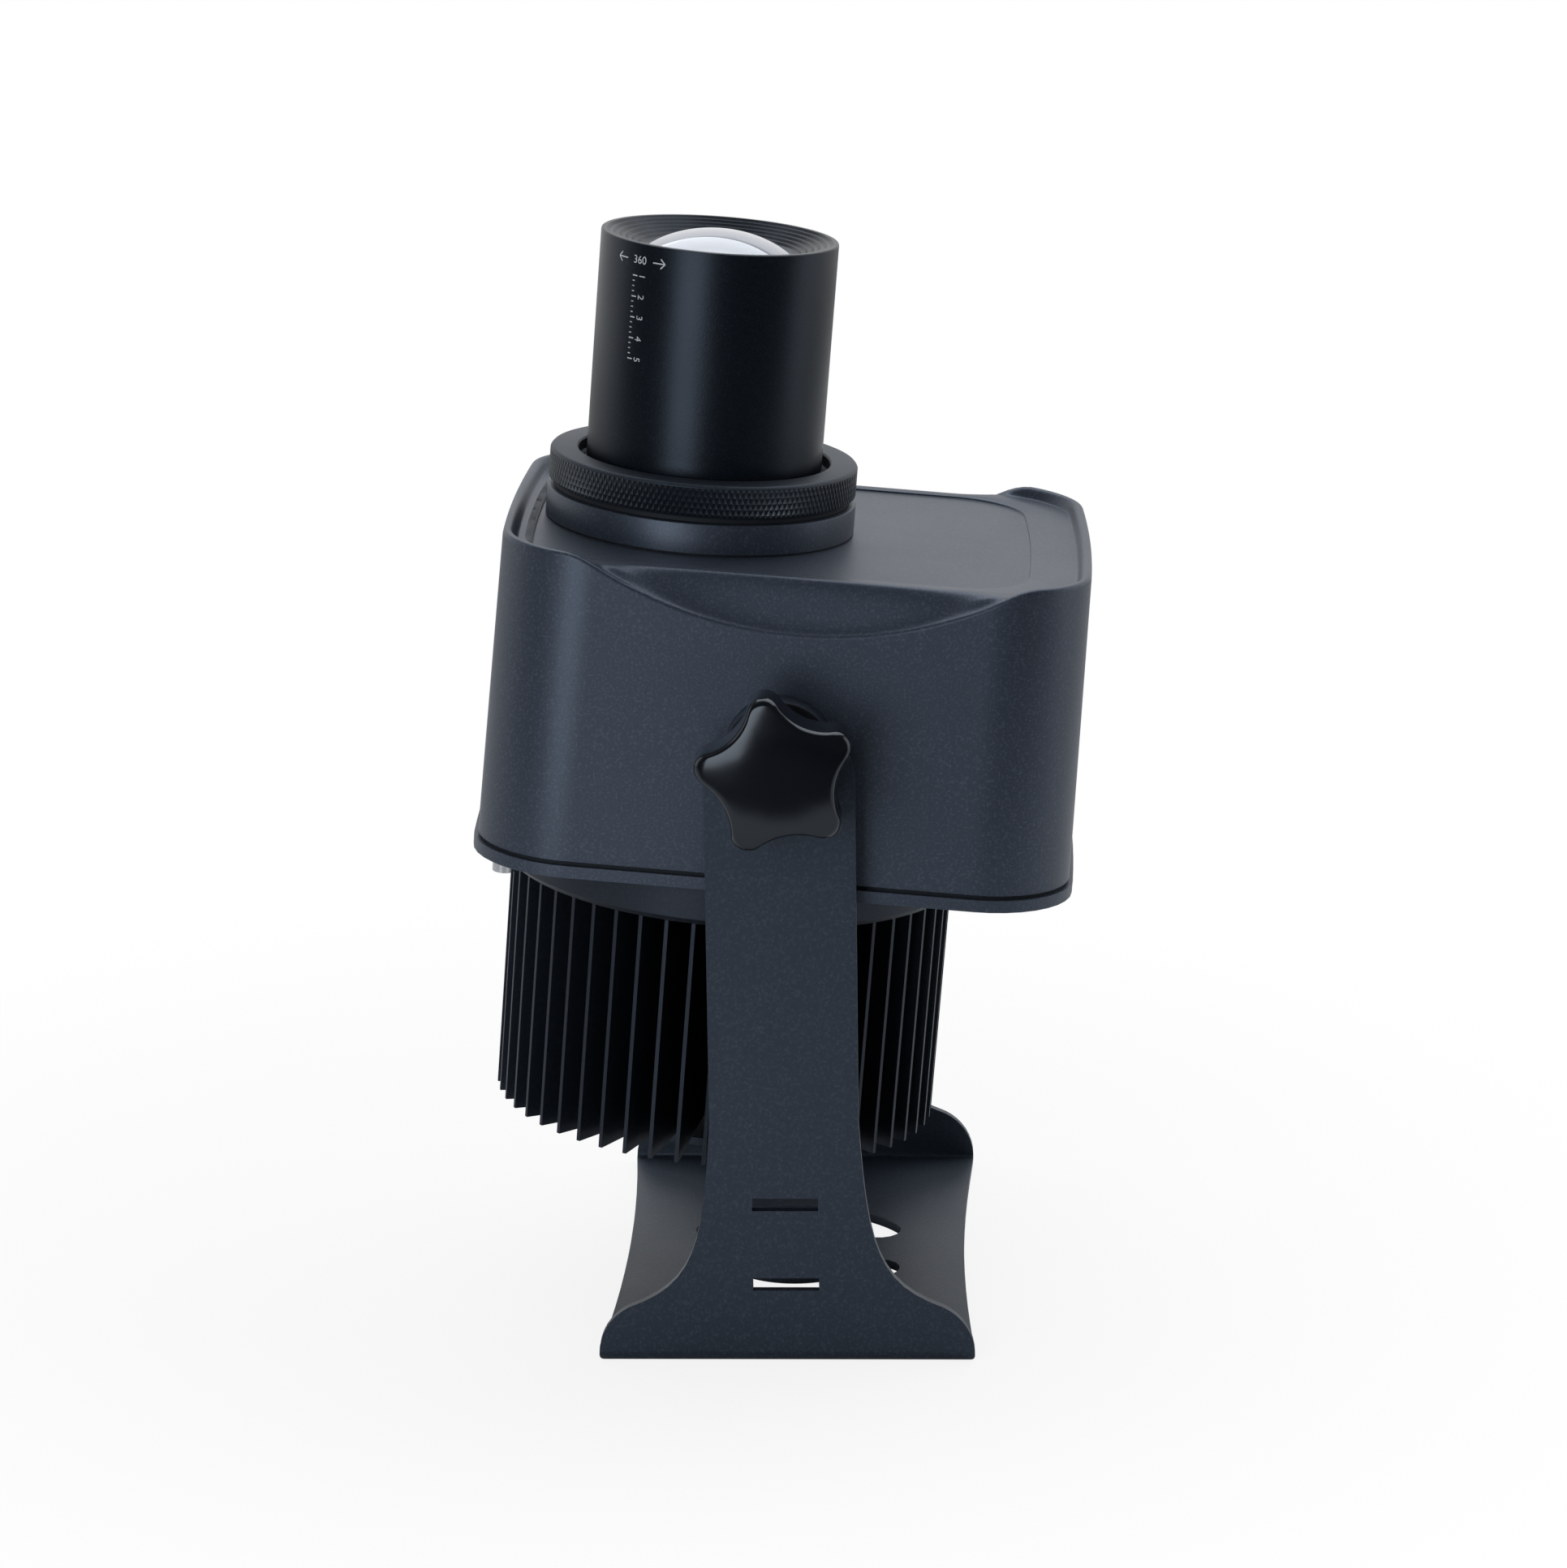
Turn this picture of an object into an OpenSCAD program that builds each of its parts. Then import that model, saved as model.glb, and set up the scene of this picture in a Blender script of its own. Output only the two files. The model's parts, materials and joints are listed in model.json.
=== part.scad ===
// Outdoor gobo projector on a U-shaped yoke, at its real size in millimetres.
// +X is the long way of the head, +Y runs along the tilt axis, +Z is up.
// The origin is the centre of the hole in the yoke's base, on the face that it stands on.

/* [Yoke] */
// Height of the tilt axis above the ground
pivot_h = 200; // [190:1:230]
// Width of the base plate and of the feet of the arms
base_w = 120; // [100:1:140]
// Thickness of the yoke's sheet
sheet_t = 3; // [2:0.25:4]
// Inside radius of the two bends
bend_r = 1; // [0.5:0.5:4]
// Width of the arms at the tilt axis
arm_w = 47; // [40:1:56]
// Height of the arm above the tilt axis
arm_over = 11; // [8:0.5:16]
// Radius of the arm's two top corners
arm_top_r = 18; // [8:1:20]
// Radius of the rounded toes of the feet
toe_r = 18; // [12:1:22]
// Height at which the foot's sweep meets the straight arm
foot_h = 82; // [60:1:100]
// How far the long sides of the base plate are drawn in at the middle
waist = 3.4; // [0:0.1:6]
// Diameter of the bolt hole in the middle of the base
base_hole_d = 13; // [8:0.5:16]
// Radius of the centre line of the two curved slots in the base
arc_r = 32.6; // [28:0.1:40]
// Width of the two curved slots
arc_w = 15.2; // [6:0.2:16]
// Half of the angle that each curved slot spans
arc_half = 57.5; // [30:0.5:70]
// Length of the straight slots in the arms
arm_slot_l = 21; // [12:1:30]
// Height of the opening of the straight slots
arm_slot_w = 4.2; // [3:0.1:6]
// Height of the lower arm slot above the ground
arm_slot_z1 = 26.9; // [22:0.1:30]
// Height of the upper arm slot above the ground
arm_slot_z2 = 53.8; // [44:0.1:60]

/* [Tilt joint] */
// Angle that the head leans at rest
lean = 5.1; // [0:0.1:10]
// Gap between the widest part of the head and the inside of each arm
side_gap = 6.75; // [1.8:0.05:10]
// Diameter of the clamp studs
stud_d = 8; // [6:0.5:10]
// Diameter of the friction washers and of the housing's pivot bosses
pivot_boss_d = 34; // [28:1:44]
// Thickness of the friction washers
friction_t = 1.2; // [0.8:0.1:1.5]
// Length of the threaded inserts
insert_l = 12; // [8:1:16]
// Outside diameter of the threaded inserts
insert_d = 13; // [12:0.5:16]

/* [Star knobs] */
// Radius of the star at its tips
knob_tip_r = 25.3; // [22:0.1:32]
// Radius of the star in its hollows
knob_hollow_r = 18.3; // [16:0.1:20]
// Radius of the rounding of each tip
knob_lobe_r = 5.1; // [3:0.1:6]
// Thickness of the star at its edge
knob_t = 13; // [8:0.2:16]
// Height of the knob's domed front
knob_dome = 3.2; // [1:0.1:5]
// Diameter of the knob's hub
knob_hub_d = 20; // [16:0.5:26]
// Length of the knob's hub
knob_hub_l = 7.85; // [5:0.05:16]
// Thickness of the washer under the knob
knob_washer_t = 1.6; // [1:0.1:3]
// Angle of the first tip
knob_phase = 39; // [0:1:72]

/* [Housing] */
// Length of the shell at its rear edge
shell_l = 185.9; // [184:0.1:196]
// Width of the shell at its rear edge
shell_w = 164.1; // [160:0.1:172]
// How far the shell's two ends bow out in the middle
end_bow = 2.6; // [0:0.1:4]
// Corner radius of the shell in plan
shell_corner = 29; // [24:1:34]
// Draft angle of the shell's sides
draft = 1.14; // [0.5:0.02:1.5]
// Wall thickness of the shell
wall = 3; // [2.5:0.25:3.5]
// Distance from the tilt axis back to the shell's rear edge
shell_rear = 42.2; // [40:0.5:50]
// Distance from the tilt axis forward to the floor of the front face
shell_front = 52.6; // [50:0.5:58]
// Offset of the shell's middle from the tilt axis
shell_x = 0.05; // [-2:0.05:1]
// Height of the rim above the front floor
rim_h = 3.6; // [2:0.1:6]
// Width of the rim
rim_w = 3; // [2.6:0.1:3.6]
// Depth of the two side scoops below the front floor
scoop_drop = 15.9; // [8:0.5:17]
// Half of the length of each side scoop
scoop_half = 74; // [60:1:80]
// Distance from the shell's side to the scoop's upper edge
scoop_in = 5; // [4.4:0.1:6]
// Depth of the panel sunk into the front floor
panel_sink = 0.7; // [0.4:0.1:1]
// Distance from the shell's long sides to the sunk panel
panel_in = 13.2; // [9:0.1:16]
// Distance from the shell's end on the lens side to the sunk panel
panel_lens_end = 6.5; // [5.5:0.1:8]
// Distance from the shell's other end to the sunk panel
panel_far_end = 19.1; // [12:0.1:22]
// Corner radius of the sunk panel
panel_corner = 22; // [6:1:26]

/* [Rear cover] */
// Thickness of the gasket between the shell and the rear cover
gasket_t = 0.8; // [0.5:0.1:1.5]
// Height of the rear cover's edge
cover_h = 4; // [3.6:0.1:6]
// Thickness of the rear cover's plate
cover_t = 3; // [2:0.25:3.5]
// How far the rear cover stands out past the shell
cover_lip = 1.2; // [0.5:0.1:2]
// Diameter of the cover's screws
cover_screw_d = 4; // [3:0.5:5]

/* [Heatsink] */
// Distance from the shell's end on the lens side to the edge of the flange
sink_end_in = 2; // [1:0.1:6]
// Distance from the shell's long sides to the edge of the flange
sink_side_in = 5.4; // [2:0.1:8]
// Thickness of the flange
sink_flange_t = 14.2; // [8:0.1:16]
// Distance from the flange's edge to the tips of the fins
sink_fin_in = 3.9; // [2:0.1:10]
// Length of the fins below the flange
sink_fin_l = 81; // [50:1:96]
// Thickness of a fin at its tip
sink_fin_t = 1.3; // [1:0.1:1.8]
// Number of fins
sink_fins = 52; // [36:4:60]
// Radius of the core that carries the fins
sink_core_r = 26; // [25:0.5:30]
// Distance from the flange's edge to the circle of its screws
sink_screw_in = 4.4; // [4:0.1:5.4]
// Distance from the circle of the screws to the pedestal inside the housing
pedestal_in = 9; // [8.5:0.5:11]

/* [End plate and gland] */
// Radius of the plate below the heatsink
end_plate_r = 34; // [30:0.5:40]
// Thickness of that plate
end_plate_t = 3; // [2:0.25:4]
// Length of the standoffs between the heatsink and the plate
standoff_l = 5; // [5:0.5:12]
// Offset of the gland from the heatsink's axis
gland_off = 9.5; // [9:0.5:10.5]
// Radius of the gland's domed cap
gland_cap_r = 10; // [9:0.5:10.5]
// Length of the gland's domed cap
gland_cap_l = 11; // [8:0.5:16]
// Diameter of the cable that the gland takes
cable_d = 8; // [6:0.5:9]

/* [Light source] */
// Side of the square board that carries the emitter
board_w = 44; // [38:1:46]
// Thickness of the board
board_t = 2; // [1.5:0.25:3]
// Radius of the emitter
emitter_r = 11; // [6:0.5:14]
// Radius of the condenser lenses
condenser_r = 31; // [28:0.5:32]
// Length of the condenser tube
condenser_l = 47; // [44:0.5:50]
// Radius of the gobo
gobo_r = 25; // [20:0.5:27]
// Thickness of the gobo
gobo_t = 1.1; // [0.5:0.1:2]

/* [Lens] */
// Offset of the lens axis from the tilt axis
lens_x = -33.1; // [-36:0.5:-30]
// Radius of the smooth part of the barrel
barrel_r = 38; // [36.5:0.1:38.5]
// Length of barrel that shows in front of the lock ring at rest
barrel_show = 71.15; // [50:0.05:90]
// Radius of the threaded part of the barrel
thread_r = 39.8; // [39.5:0.1:41]
// Radius of the fixed collar
collar_r = 50; // [48.5:0.1:52]
// Height of the fixed collar above the front floor
collar_h = 9.4; // [8:0.1:14]
// Radius of the lock ring
lock_r = 49.7; // [47.5:0.1:52]
// Height of the lock ring
lock_h = 10.5; // [6:0.1:14]
// Thickness of the seal between the collar and the lock ring
lock_seal_t = 1.9; // [1:0.1:3]
// Radius of the front lens
front_lens_r = 25; // [22:0.5:27]
// Radius of the front lens's curved face
front_lens_curve = 46; // [40:1:60]
// How far the front lens stands out past the barrel's end
front_lens_out = 1.6; // [0:0.1:3]
// Number of steps in the barrel's mouth
mouth_steps = 6; // [3:1:8]

/* [Hidden] */
$fn = 96;

// Named clearances
fit = 0.05; // radial gap of a part that turns or slides in another
seat = 0.1; // gap between pieces that seat on each other
loose = 0.4; // radial gap of a screw in its clear hole
eps = 0.01; // overlap that makes a cut run past a face
small_screw_d = 3; // diameter of the small screws inside the head

// Widths across the tilt axis
cover_half_y = shell_w / 2 + cover_lip;
arm_in_y = cover_half_y + side_gap;
arm_out_y = arm_in_y + sheet_t;
boss_y = arm_in_y - friction_t - seat;
inner_boss_y = boss_y - insert_l - 2;

// Heatsink, placed and sized from the shell that it closes
sink_flange_r = shell_w / 2 - sink_side_in;
sink_x = shell_x - shell_l / 2 + sink_end_in + sink_flange_r;
sink_screw_r = sink_flange_r - sink_screw_in;
sink_fin_r = sink_flange_r - sink_fin_in;
pedestal_r = sink_screw_r - pedestal_in;

// Levels along the lens axis, from the tilt axis
rear_z = -shell_rear;
floor_z = shell_front;
rim_z = floor_z + rim_h;
lip_z = floor_z - scoop_drop;
cover_top_z = rear_z - gasket_t;
cover_bottom_z = cover_top_z - cover_h;
plate_top_z = cover_bottom_z + cover_t;
ceiling_z = floor_z - wall;
flange_bottom_z = cover_bottom_z - sink_flange_t;
fin_bottom_z = flange_bottom_z - sink_fin_l;
pedestal_z = plate_top_z + 3.4;
end_top_z = fin_bottom_z - standoff_l;
end_bottom_z = end_top_z - end_plate_t;

// Shell half sizes at a level
function half_x(z) = shell_l / 2 - (z - rear_z) * tan(draft);
function half_y(z) = shell_w / 2 - (z - rear_z) * tan(draft);
cavity_top_z = lip_z - 3.7;
cavity_x = half_x(cavity_top_z) - wall;
cavity_y = half_y(cavity_top_z) - wall;
cavity_corner = shell_corner - wall;

// Places of the rear cover's screws: far out in the corners on the lens side, by the end wall on the other
corner_reach = shell_corner - 4.1;
corner_cx = shell_l / 2 - shell_corner;
corner_cy = shell_w / 2 - shell_corner;
bow_at_screw = end_bow * (1 - pow(corner_cy / (shell_w / 2), 2));
cover_screw_spots = [for (sy = [-1, 1]) each [
    [shell_x - corner_cx - corner_reach * cos(34), sy * (corner_cy + corner_reach * sin(34))],
    [shell_x + shell_l / 2 - 8.3 + bow_at_screw, sy * corner_cy]]];
screw_boss_r = cover_screw_d / 2 + 3;

// Screws of the heatsink's flange, kept clear of the housing's long sides
sink_screw_n = 8;
sink_screw_step = 360 / sink_screw_n;

// Light source levels
board_top_z = pedestal_z + board_t;
tube_top_z = pedestal_z + condenser_l;
tube_wall = 3;
tube_skirt_r = condenser_r + 2;
tube_screw_r = tube_skirt_r + tube_wall + small_screw_d;
tube_flange_r = tube_screw_r + 4;
holder_flange_r = condenser_r + 7;
lens_a_z = pedestal_z + 10;
lens_a_t = 10;
lens_gap = 4;
lens_b_z = lens_a_z + lens_a_t + lens_gap;
lens_b_t = 11;
lens_a_curve = 1.9 * condenser_r;
lens_b_curve = 1.7 * condenser_r;
ring_in_r = condenser_r - 2;
lens_a_rest_z = lens_a_z + lens_a_t - lens_a_curve + sqrt(pow(lens_a_curve, 2) - pow(ring_in_r, 2)) + seat;
lens_b_rest_z = lens_b_z + lens_b_t - lens_b_curve + sqrt(pow(lens_b_curve, 2) - pow(ring_in_r, 2)) + seat;
holder_h = 6;
holder_top_z = tube_top_z + holder_h;

// Lens levels
collar_top_z = floor_z + collar_h;
collar_gasket_t = 0.6;
lock_bottom_z = collar_top_z + lock_seal_t;
lock_top_z = lock_bottom_z + lock_h;
barrel_top_z = lock_top_z + barrel_show;
thread_top_z = lock_top_z - 4.2;
travel_in = 2.5;
travel_out = 10;
sleeve_bottom_z = holder_top_z + 8;
carriage_bottom_z = sleeve_bottom_z + travel_in + 1.2;
carriage_h = 8;
carriage_top_z = carriage_bottom_z + carriage_h;
barrel_bottom_z = carriage_top_z + 0.3;
spigot_l = 10;
sleeve_r = thread_r + 3.2;
bore_r = thread_r + fit;
carriage_r = thread_r - 0.02;
spigot_r = thread_r - 5.8;
barrel_bore_r = spigot_r - 3;
pin_r = 2;
pin_z = carriage_bottom_z + carriage_h / 2;
rear_lens_r = spigot_r - 6;
lens_apex_z = barrel_top_z + front_lens_out;
front_lens_sag = front_lens_curve - sqrt(pow(front_lens_curve, 2) - pow(front_lens_r, 2));
front_edge_z = lens_apex_z - front_lens_sag;
front_edge_t = 3.5;
front_back_z = front_edge_z - front_edge_t;
lens_spacer_l = 7;
inner_lens_t = 6;
inner_top_z = front_back_z - lens_spacer_l;
inner_back_z = inner_top_z - inner_lens_t;
inner_ring_t = 4;
mouth_rim = 2;

// Gland and screws
gland_x = sink_x + gland_off;
gland_thread_r = gland_cap_r - 2.2;
core_bore_r = 4.8;
standoff_r = 20;

// Points of a rounded rectangle with bowed ends, with the long sides cut into many steps or left whole
side_steps = 26;
end_steps = 8;
corner_steps = 9;
function corner(cx, cy, r, from) =
    [for (i = [0:corner_steps]) let (a = from + 90 * i / corner_steps) [cx + r * cos(a), cy + r * sin(a)]];
function side(x0, x1, y, n) = n < 2 ? [] : [for (i = [1:n - 1]) [x0 + (x1 - x0) * i / n, y]];
function end(x, y0, y1) = [for (i = [1:end_steps - 1]) [x, y0 + (y1 - y0) * i / end_steps]];
function bowed(points, hy) = [for (p = points) [p[0] + sign(p[0]) * end_bow * (1 - pow(p[1] / hy, 2)), p[1]]];
function rounded(hx, hy, r, n) = bowed(concat(
    corner(hx - r, hy - r, r, 0), side(hx - r, r - hx, hy, n),
    corner(r - hx, hy - r, r, 90), end(-hx, hy - r, r - hy), corner(r - hx, r - hy, r, 180),
    side(r - hx, hx - r, -hy, n), corner(hx - r, r - hy, r, 270), end(hx, r - hy, hy - r)), hy);
function outline(hx, hy, r) = rounded(hx, hy, r, side_steps);
function plain_outline(hx, hy, r) = rounded(hx, hy, r, 1);

// Height of the shell's edge above a point of its plan
scoop_x = 2.5;
function soften(q, k) = let (h = max(k - abs(q - 1), 0) / k) min(q, 1) - h * h * k / 4;
function scoop_share(x) = soften(1.08 * pow(abs(x - scoop_x) / scoop_half, 2.1), 0.16);
function edge_z(x) = lip_z + (rim_z - lip_z) * scoop_share(x);

// One ring of the shell's skin: inset from the side, and height from its edge and the floor
base_ring = outline(shell_l / 2, shell_w / 2, shell_corner);
ring_n = len(base_ring);
function skin_ring(inset, drop, blend) = [
    for (i = [0:ring_n - 1])
        let (edge = edge_z(base_ring[i][0]) - drop,
             z = edge + (floor_z - edge) * blend,
             p = outline(half_x(z) - inset, half_y(z) - inset, shell_corner - inset)[i])
        [p[0], p[1], z]];
rear_ring = [for (p = base_ring) [p[0], p[1], rear_z]];
skin_points = concat(rear_ring,
    skin_ring(0, 1.4, 0), skin_ring(0.5, 0.4, 0), skin_ring(1.3, 0, 0),
    skin_ring(rim_w - 0.9, 0, 0), skin_ring(rim_w, 0.6, 0.04),
    skin_ring(rim_w + 0.7, 0.6, 0.25), skin_ring(scoop_in - 0.5, 0.6, 0.7), skin_ring(scoop_in, 0, 1));
skin_rings = len(skin_points) / ring_n;
skin_faces = concat(
    [[for (i = [0:ring_n - 1]) i]],
    [for (k = [0:skin_rings - 2], i = [0:ring_n - 1])
        let (j = (i + 1) % ring_n, a = k * ring_n, b = a + ring_n) each [[a + i, b + i, b + j], [a + i, b + j, a + j]]],
    [[for (i = [ring_n - 1:-1:0]) (skin_rings - 1) * ring_n + i]]);

// Outline of one arm, from the toe to its rounded top
toe_z = 3;
toe_corner = [for (i = [0:4]) let (a = 90 * i / 4 - 90)
    [base_w / 2 - 2.4 + 2.4 * cos(a), 2.4 + 2.4 * sin(a)]];
toe_end = 63;
function bezier(a, b, c, d, t) =
    pow(1 - t, 3) * a + 3 * pow(1 - t, 2) * t * b + 3 * (1 - t) * t * t * c + pow(t, 3) * d;
toe = [for (i = [0:8]) let (a = toe_end * i / 8) [base_w / 2 - toe_r + toe_r * cos(a), toe_z + toe_r * sin(a)]];
sweep_start = toe[8];
sweep_a = [arm_w / 2 + 5.5, sweep_start[1] + 8];
sweep_b = [arm_w / 2 + 2.5, sweep_start[1] + 20];
sweep = [for (i = [1:12]) bezier(sweep_start, sweep_a, sweep_b, [arm_w / 2, foot_h], i / 12)];
arm_top_z = pivot_h + arm_over;
arm_top = [for (i = [0:8]) let (a = 90 * i / 8)
    [arm_w / 2 - arm_top_r + arm_top_r * cos(a), arm_top_z - arm_top_r + arm_top_r * sin(a)]];
arm_half = concat(toe_corner, toe, sweep, arm_top);
arm_n = len(arm_half);
arm_outline = concat(arm_half, [for (i = [arm_n - 1:-1:0]) [-arm_half[i][0], arm_half[i][1]]]);

// Section of the bent sheet
bend_out = bend_r + sheet_t;
function bend(r, from, to) = [for (i = [0:8]) let (a = from + (to - from) * i / 8)
    [arm_out_y - bend_out + r * cos(a), bend_out + r * sin(a)]];
u_half = concat([[arm_in_y, arm_top_z + 1], [arm_out_y, arm_top_z + 1]], bend(bend_out, 0, -90));
u_inner = bend(bend_r, -90, 0);
u_section = concat(u_half, [for (i = [len(u_half) - 1:-1:0]) [-u_half[i][0], u_half[i][1]]],
    [for (i = [len(u_inner) - 1:-1:0]) [-u_inner[i][0], u_inner[i][1]]], u_inner);

// Side of the base plate that is cut away to draw it in
waist_y = arm_out_y - bend_out;
waist_cut = concat([[base_w, -waist_y], [base_w, waist_y]],
    [for (i = [24:-1:0]) let (t = i / 12 - 1) [base_w / 2 - waist * (1 - t * t), t * waist_y]]);

// Curved slot in the base, round the +Y direction
function arc_points(r, from, to, n, c = [0, 0]) =
    [for (i = [0:n]) let (a = from + (to - from) * i / n) [c[0] + r * cos(a), c[1] + r * sin(a)]];
slot_a = 90 - arc_half;
slot_b = 90 + arc_half;
arc_slot = concat(
    arc_points(arc_r + arc_w / 2, slot_a, slot_b, 24),
    arc_points(arc_w / 2, slot_b, slot_b + 180, 8, arc_r * [cos(slot_b), sin(slot_b)]),
    arc_points(arc_r - arc_w / 2, slot_b, slot_a, 24),
    arc_points(arc_w / 2, slot_a - 180, slot_a, 8, arc_r * [cos(slot_a), sin(slot_a)]));

// Outline of the star knob: five lobes joined by hollow arcs that touch them
lobes = 5;
half_lobe = 180 / lobes;
lobe_c = knob_tip_r - knob_lobe_r;
hollow_r = (pow(lobe_c, 2) + pow(knob_hollow_r, 2) - pow(knob_lobe_r, 2)
    - 2 * lobe_c * knob_hollow_r * cos(half_lobe))
    / (2 * (lobe_c * cos(half_lobe) + knob_lobe_r - knob_hollow_r));
hollow_c = knob_hollow_r + hollow_r;
touch = atan2(hollow_c * sin(half_lobe), hollow_c * cos(half_lobe) - lobe_c);
hollow_half = 180 - half_lobe - (180 - touch);
function star(k) = [for (n = [0:lobes - 1]) let (a = n * 360 / lobes) each concat(
    arc_points(knob_lobe_r * k, a - touch, a + touch, 8, k * lobe_c * [cos(a), sin(a)]),
    [for (i = [1:7]) let (b = a + half_lobe + 180 + hollow_half * (1 - i / 4))
        k * (hollow_c * [cos(a + half_lobe), sin(a + half_lobe)] + hollow_r * [cos(b), sin(b)])])];

// Fins and core of the heatsink as one outline
fin_root_t = 1.8;
fin_turn = 360 / sink_fins;
fin_root_a = asin(fin_root_t / 2 / sink_core_r);
fin_tip_a = asin(sink_fin_t / 2 / sink_fin_r);
fin_outline = [for (n = [0:sink_fins - 1]) let (a = n * fin_turn) each [
    sink_core_r * [cos(a - fin_root_a), sin(a - fin_root_a)],
    sink_fin_r * [cos(a - fin_tip_a), sin(a - fin_tip_a)],
    sink_fin_r * [cos(a + fin_tip_a), sin(a + fin_tip_a)],
    sink_core_r * [cos(a + fin_root_a), sin(a + fin_root_a)]]];

// Places the head's own frame at the tilt axis, at its rest angle
module head() {
    translate([0, 0, pivot_h]) rotate([0, lean, 0]) children();
}

// Places a piece of the lens or light source on the lens axis, at a level
module on_lens(z) {
    head() translate([lens_x, 0, z]) children();
}

module on_sink(z) {
    head() translate([sink_x, 0, z]) children();
}

// Ring between two levels, made as a true surface of revolution
module ring(ro, ri, z0, z1) {
    rotate_extrude() polygon([[ri, z0], [ro, z0], [ro, z1], [ri, z1]]);
}

// Cylinder along Y between two distances from the middle, on the near side
module near_cylinder(r, y0, y1) {
    translate([0, -y0, 0]) rotate([90, 0, 0]) cylinder(r = r, h = y1 - y0);
}

// Socket head screw whose head sits on z = 0 and whose shank points up
module screw_up(d, l) {
    difference() {
        union() {
            translate([0, 0, -d]) cylinder(d = 1.75 * d, h = d);
            translate([0, 0, -eps]) cylinder(d = d, h = l + eps);
        }
        translate([0, 0, -d - eps]) cylinder(d = d, h = 0.6 * d, $fn = 6);
    }
}

module screw_down(d, l) {
    rotate([180, 0, 0]) screw_up(d, l);
}

// Yoke

module yoke_bracket() color("#2d343e") difference() {
    intersection() {
        translate([-base_w / 2, 0, 0]) rotate([90, 0, 90]) linear_extrude(base_w) polygon(u_section);
        translate([0, arm_out_y + 1, 0]) rotate([90, 0, 0]) linear_extrude(2 * arm_out_y + 2) polygon(arm_outline);
    }
    for (s = [0, 1]) mirror([s, 0, 0]) translate([0, 0, -1]) linear_extrude(bend_out + 1) polygon(waist_cut);
    translate([0, 0, -1]) cylinder(d = base_hole_d, h = sheet_t + 2);
    for (s = [0, 1]) mirror([0, s, 0]) translate([0, 0, -1]) linear_extrude(sheet_t + 2) polygon(arc_slot);
    for (z = [arm_slot_z1, arm_slot_z2])
        translate([-arm_slot_l / 2, -arm_out_y - 1, z - arm_slot_w / 2])
            cube([arm_slot_l, 2 * arm_out_y + 2, arm_slot_w]);
    translate([0, arm_out_y + 1, pivot_h]) rotate([90, 0, 0])
        cylinder(d = stud_d + 2 * loose, h = 2 * arm_out_y + 2);
}

module friction_washers() color("#1b1c1e") head() for (s = [0, 1]) mirror([0, s, 0]) difference() {
    near_cylinder(pivot_boss_d / 2, boss_y, boss_y + friction_t);
    near_cylinder(stud_d / 2 + loose, boss_y - 1, boss_y + friction_t + 1);
}

module pivot_inserts() color("#b59a52") head() for (s = [0, 1]) mirror([0, s, 0]) difference() {
    near_cylinder(insert_d / 2, boss_y - insert_l, boss_y);
    near_cylinder(stud_d / 2 + fit, boss_y - insert_l - 1, boss_y + 1);
}

// Housing

module shell_skin() {
    translate([shell_x, 0, 0]) polyhedron(points = skin_points, faces = skin_faces, convexity = 6);
}

module shell_cavity() {
    translate([shell_x, 0, rear_z - 1]) linear_extrude(cavity_top_z - rear_z + 1)
        polygon(plain_outline(cavity_x, cavity_y, cavity_corner));
    translate([shell_x, 0, cavity_top_z - 1]) linear_extrude(ceiling_z - panel_sink - cavity_top_z + 1)
        polygon(plain_outline(cavity_x - 4, half_y(floor_z) - scoop_in - wall, cavity_corner - 4));
}

module screw_bosses() intersection() {
    for (p = cover_screw_spots) translate([p[0], p[1], rear_z]) cylinder(r = screw_boss_r, h = 22);
    translate([shell_x, 0, rear_z - 1]) linear_extrude(30)
        polygon(plain_outline(cavity_x + 1, cavity_y + 1, cavity_corner + 1));
}

module front_housing() color("#343a44") head() difference() {
    union() {
        difference() {
            shell_skin();
            shell_cavity();
            translate([shell_x + (panel_lens_end - panel_far_end) / 2, 0, floor_z - panel_sink])
                linear_extrude(rim_h + 2) polygon(plain_outline(
                    half_x(floor_z) - (panel_lens_end + panel_far_end) / 2, half_y(floor_z) - panel_in, panel_corner));
        }
        screw_bosses();
        for (s = [0, 1]) mirror([0, s, 0]) {
            near_cylinder(pivot_boss_d / 2, cavity_y + 1, boss_y);
            near_cylinder(insert_d / 2 + 4, inner_boss_y, cavity_y + 2);
        }
    }
    for (p = cover_screw_spots) translate([p[0], p[1], rear_z - 1]) cylinder(d = cover_screw_d + 2 * fit, h = 17);
    for (s = [0, 1]) mirror([0, s, 0]) near_cylinder(insert_d / 2 + fit, boss_y - insert_l - seat, boss_y + 1);
    translate([lens_x, 0, ceiling_z - 5]) cylinder(r = sleeve_r + loose, h = 20);
    for (a = [45:90:315]) translate([lens_x, 0, ceiling_z - 5]) rotate([0, 0, a])
        translate([collar_screw_r, 0, 0]) cylinder(d = small_screw_d + 2 * loose, h = 20);
}

module housing_gasket() color("#17181a") head() translate([shell_x, 0, cover_top_z]) difference() {
    linear_extrude(gasket_t) polygon(plain_outline(shell_l / 2 - 0.6, shell_w / 2 - 0.6, shell_corner - 0.6));
    translate([0, 0, -1]) linear_extrude(gasket_t + 2) difference() {
        polygon(plain_outline(cavity_x, cavity_y, cavity_corner));
        for (p = cover_screw_spots) translate([p[0] - shell_x, p[1]]) circle(r = screw_boss_r);
    }
    for (p = cover_screw_spots) translate([p[0] - shell_x, p[1], -1])
        cylinder(d = cover_screw_d + 2 * loose, h = gasket_t + 2);
}

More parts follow.
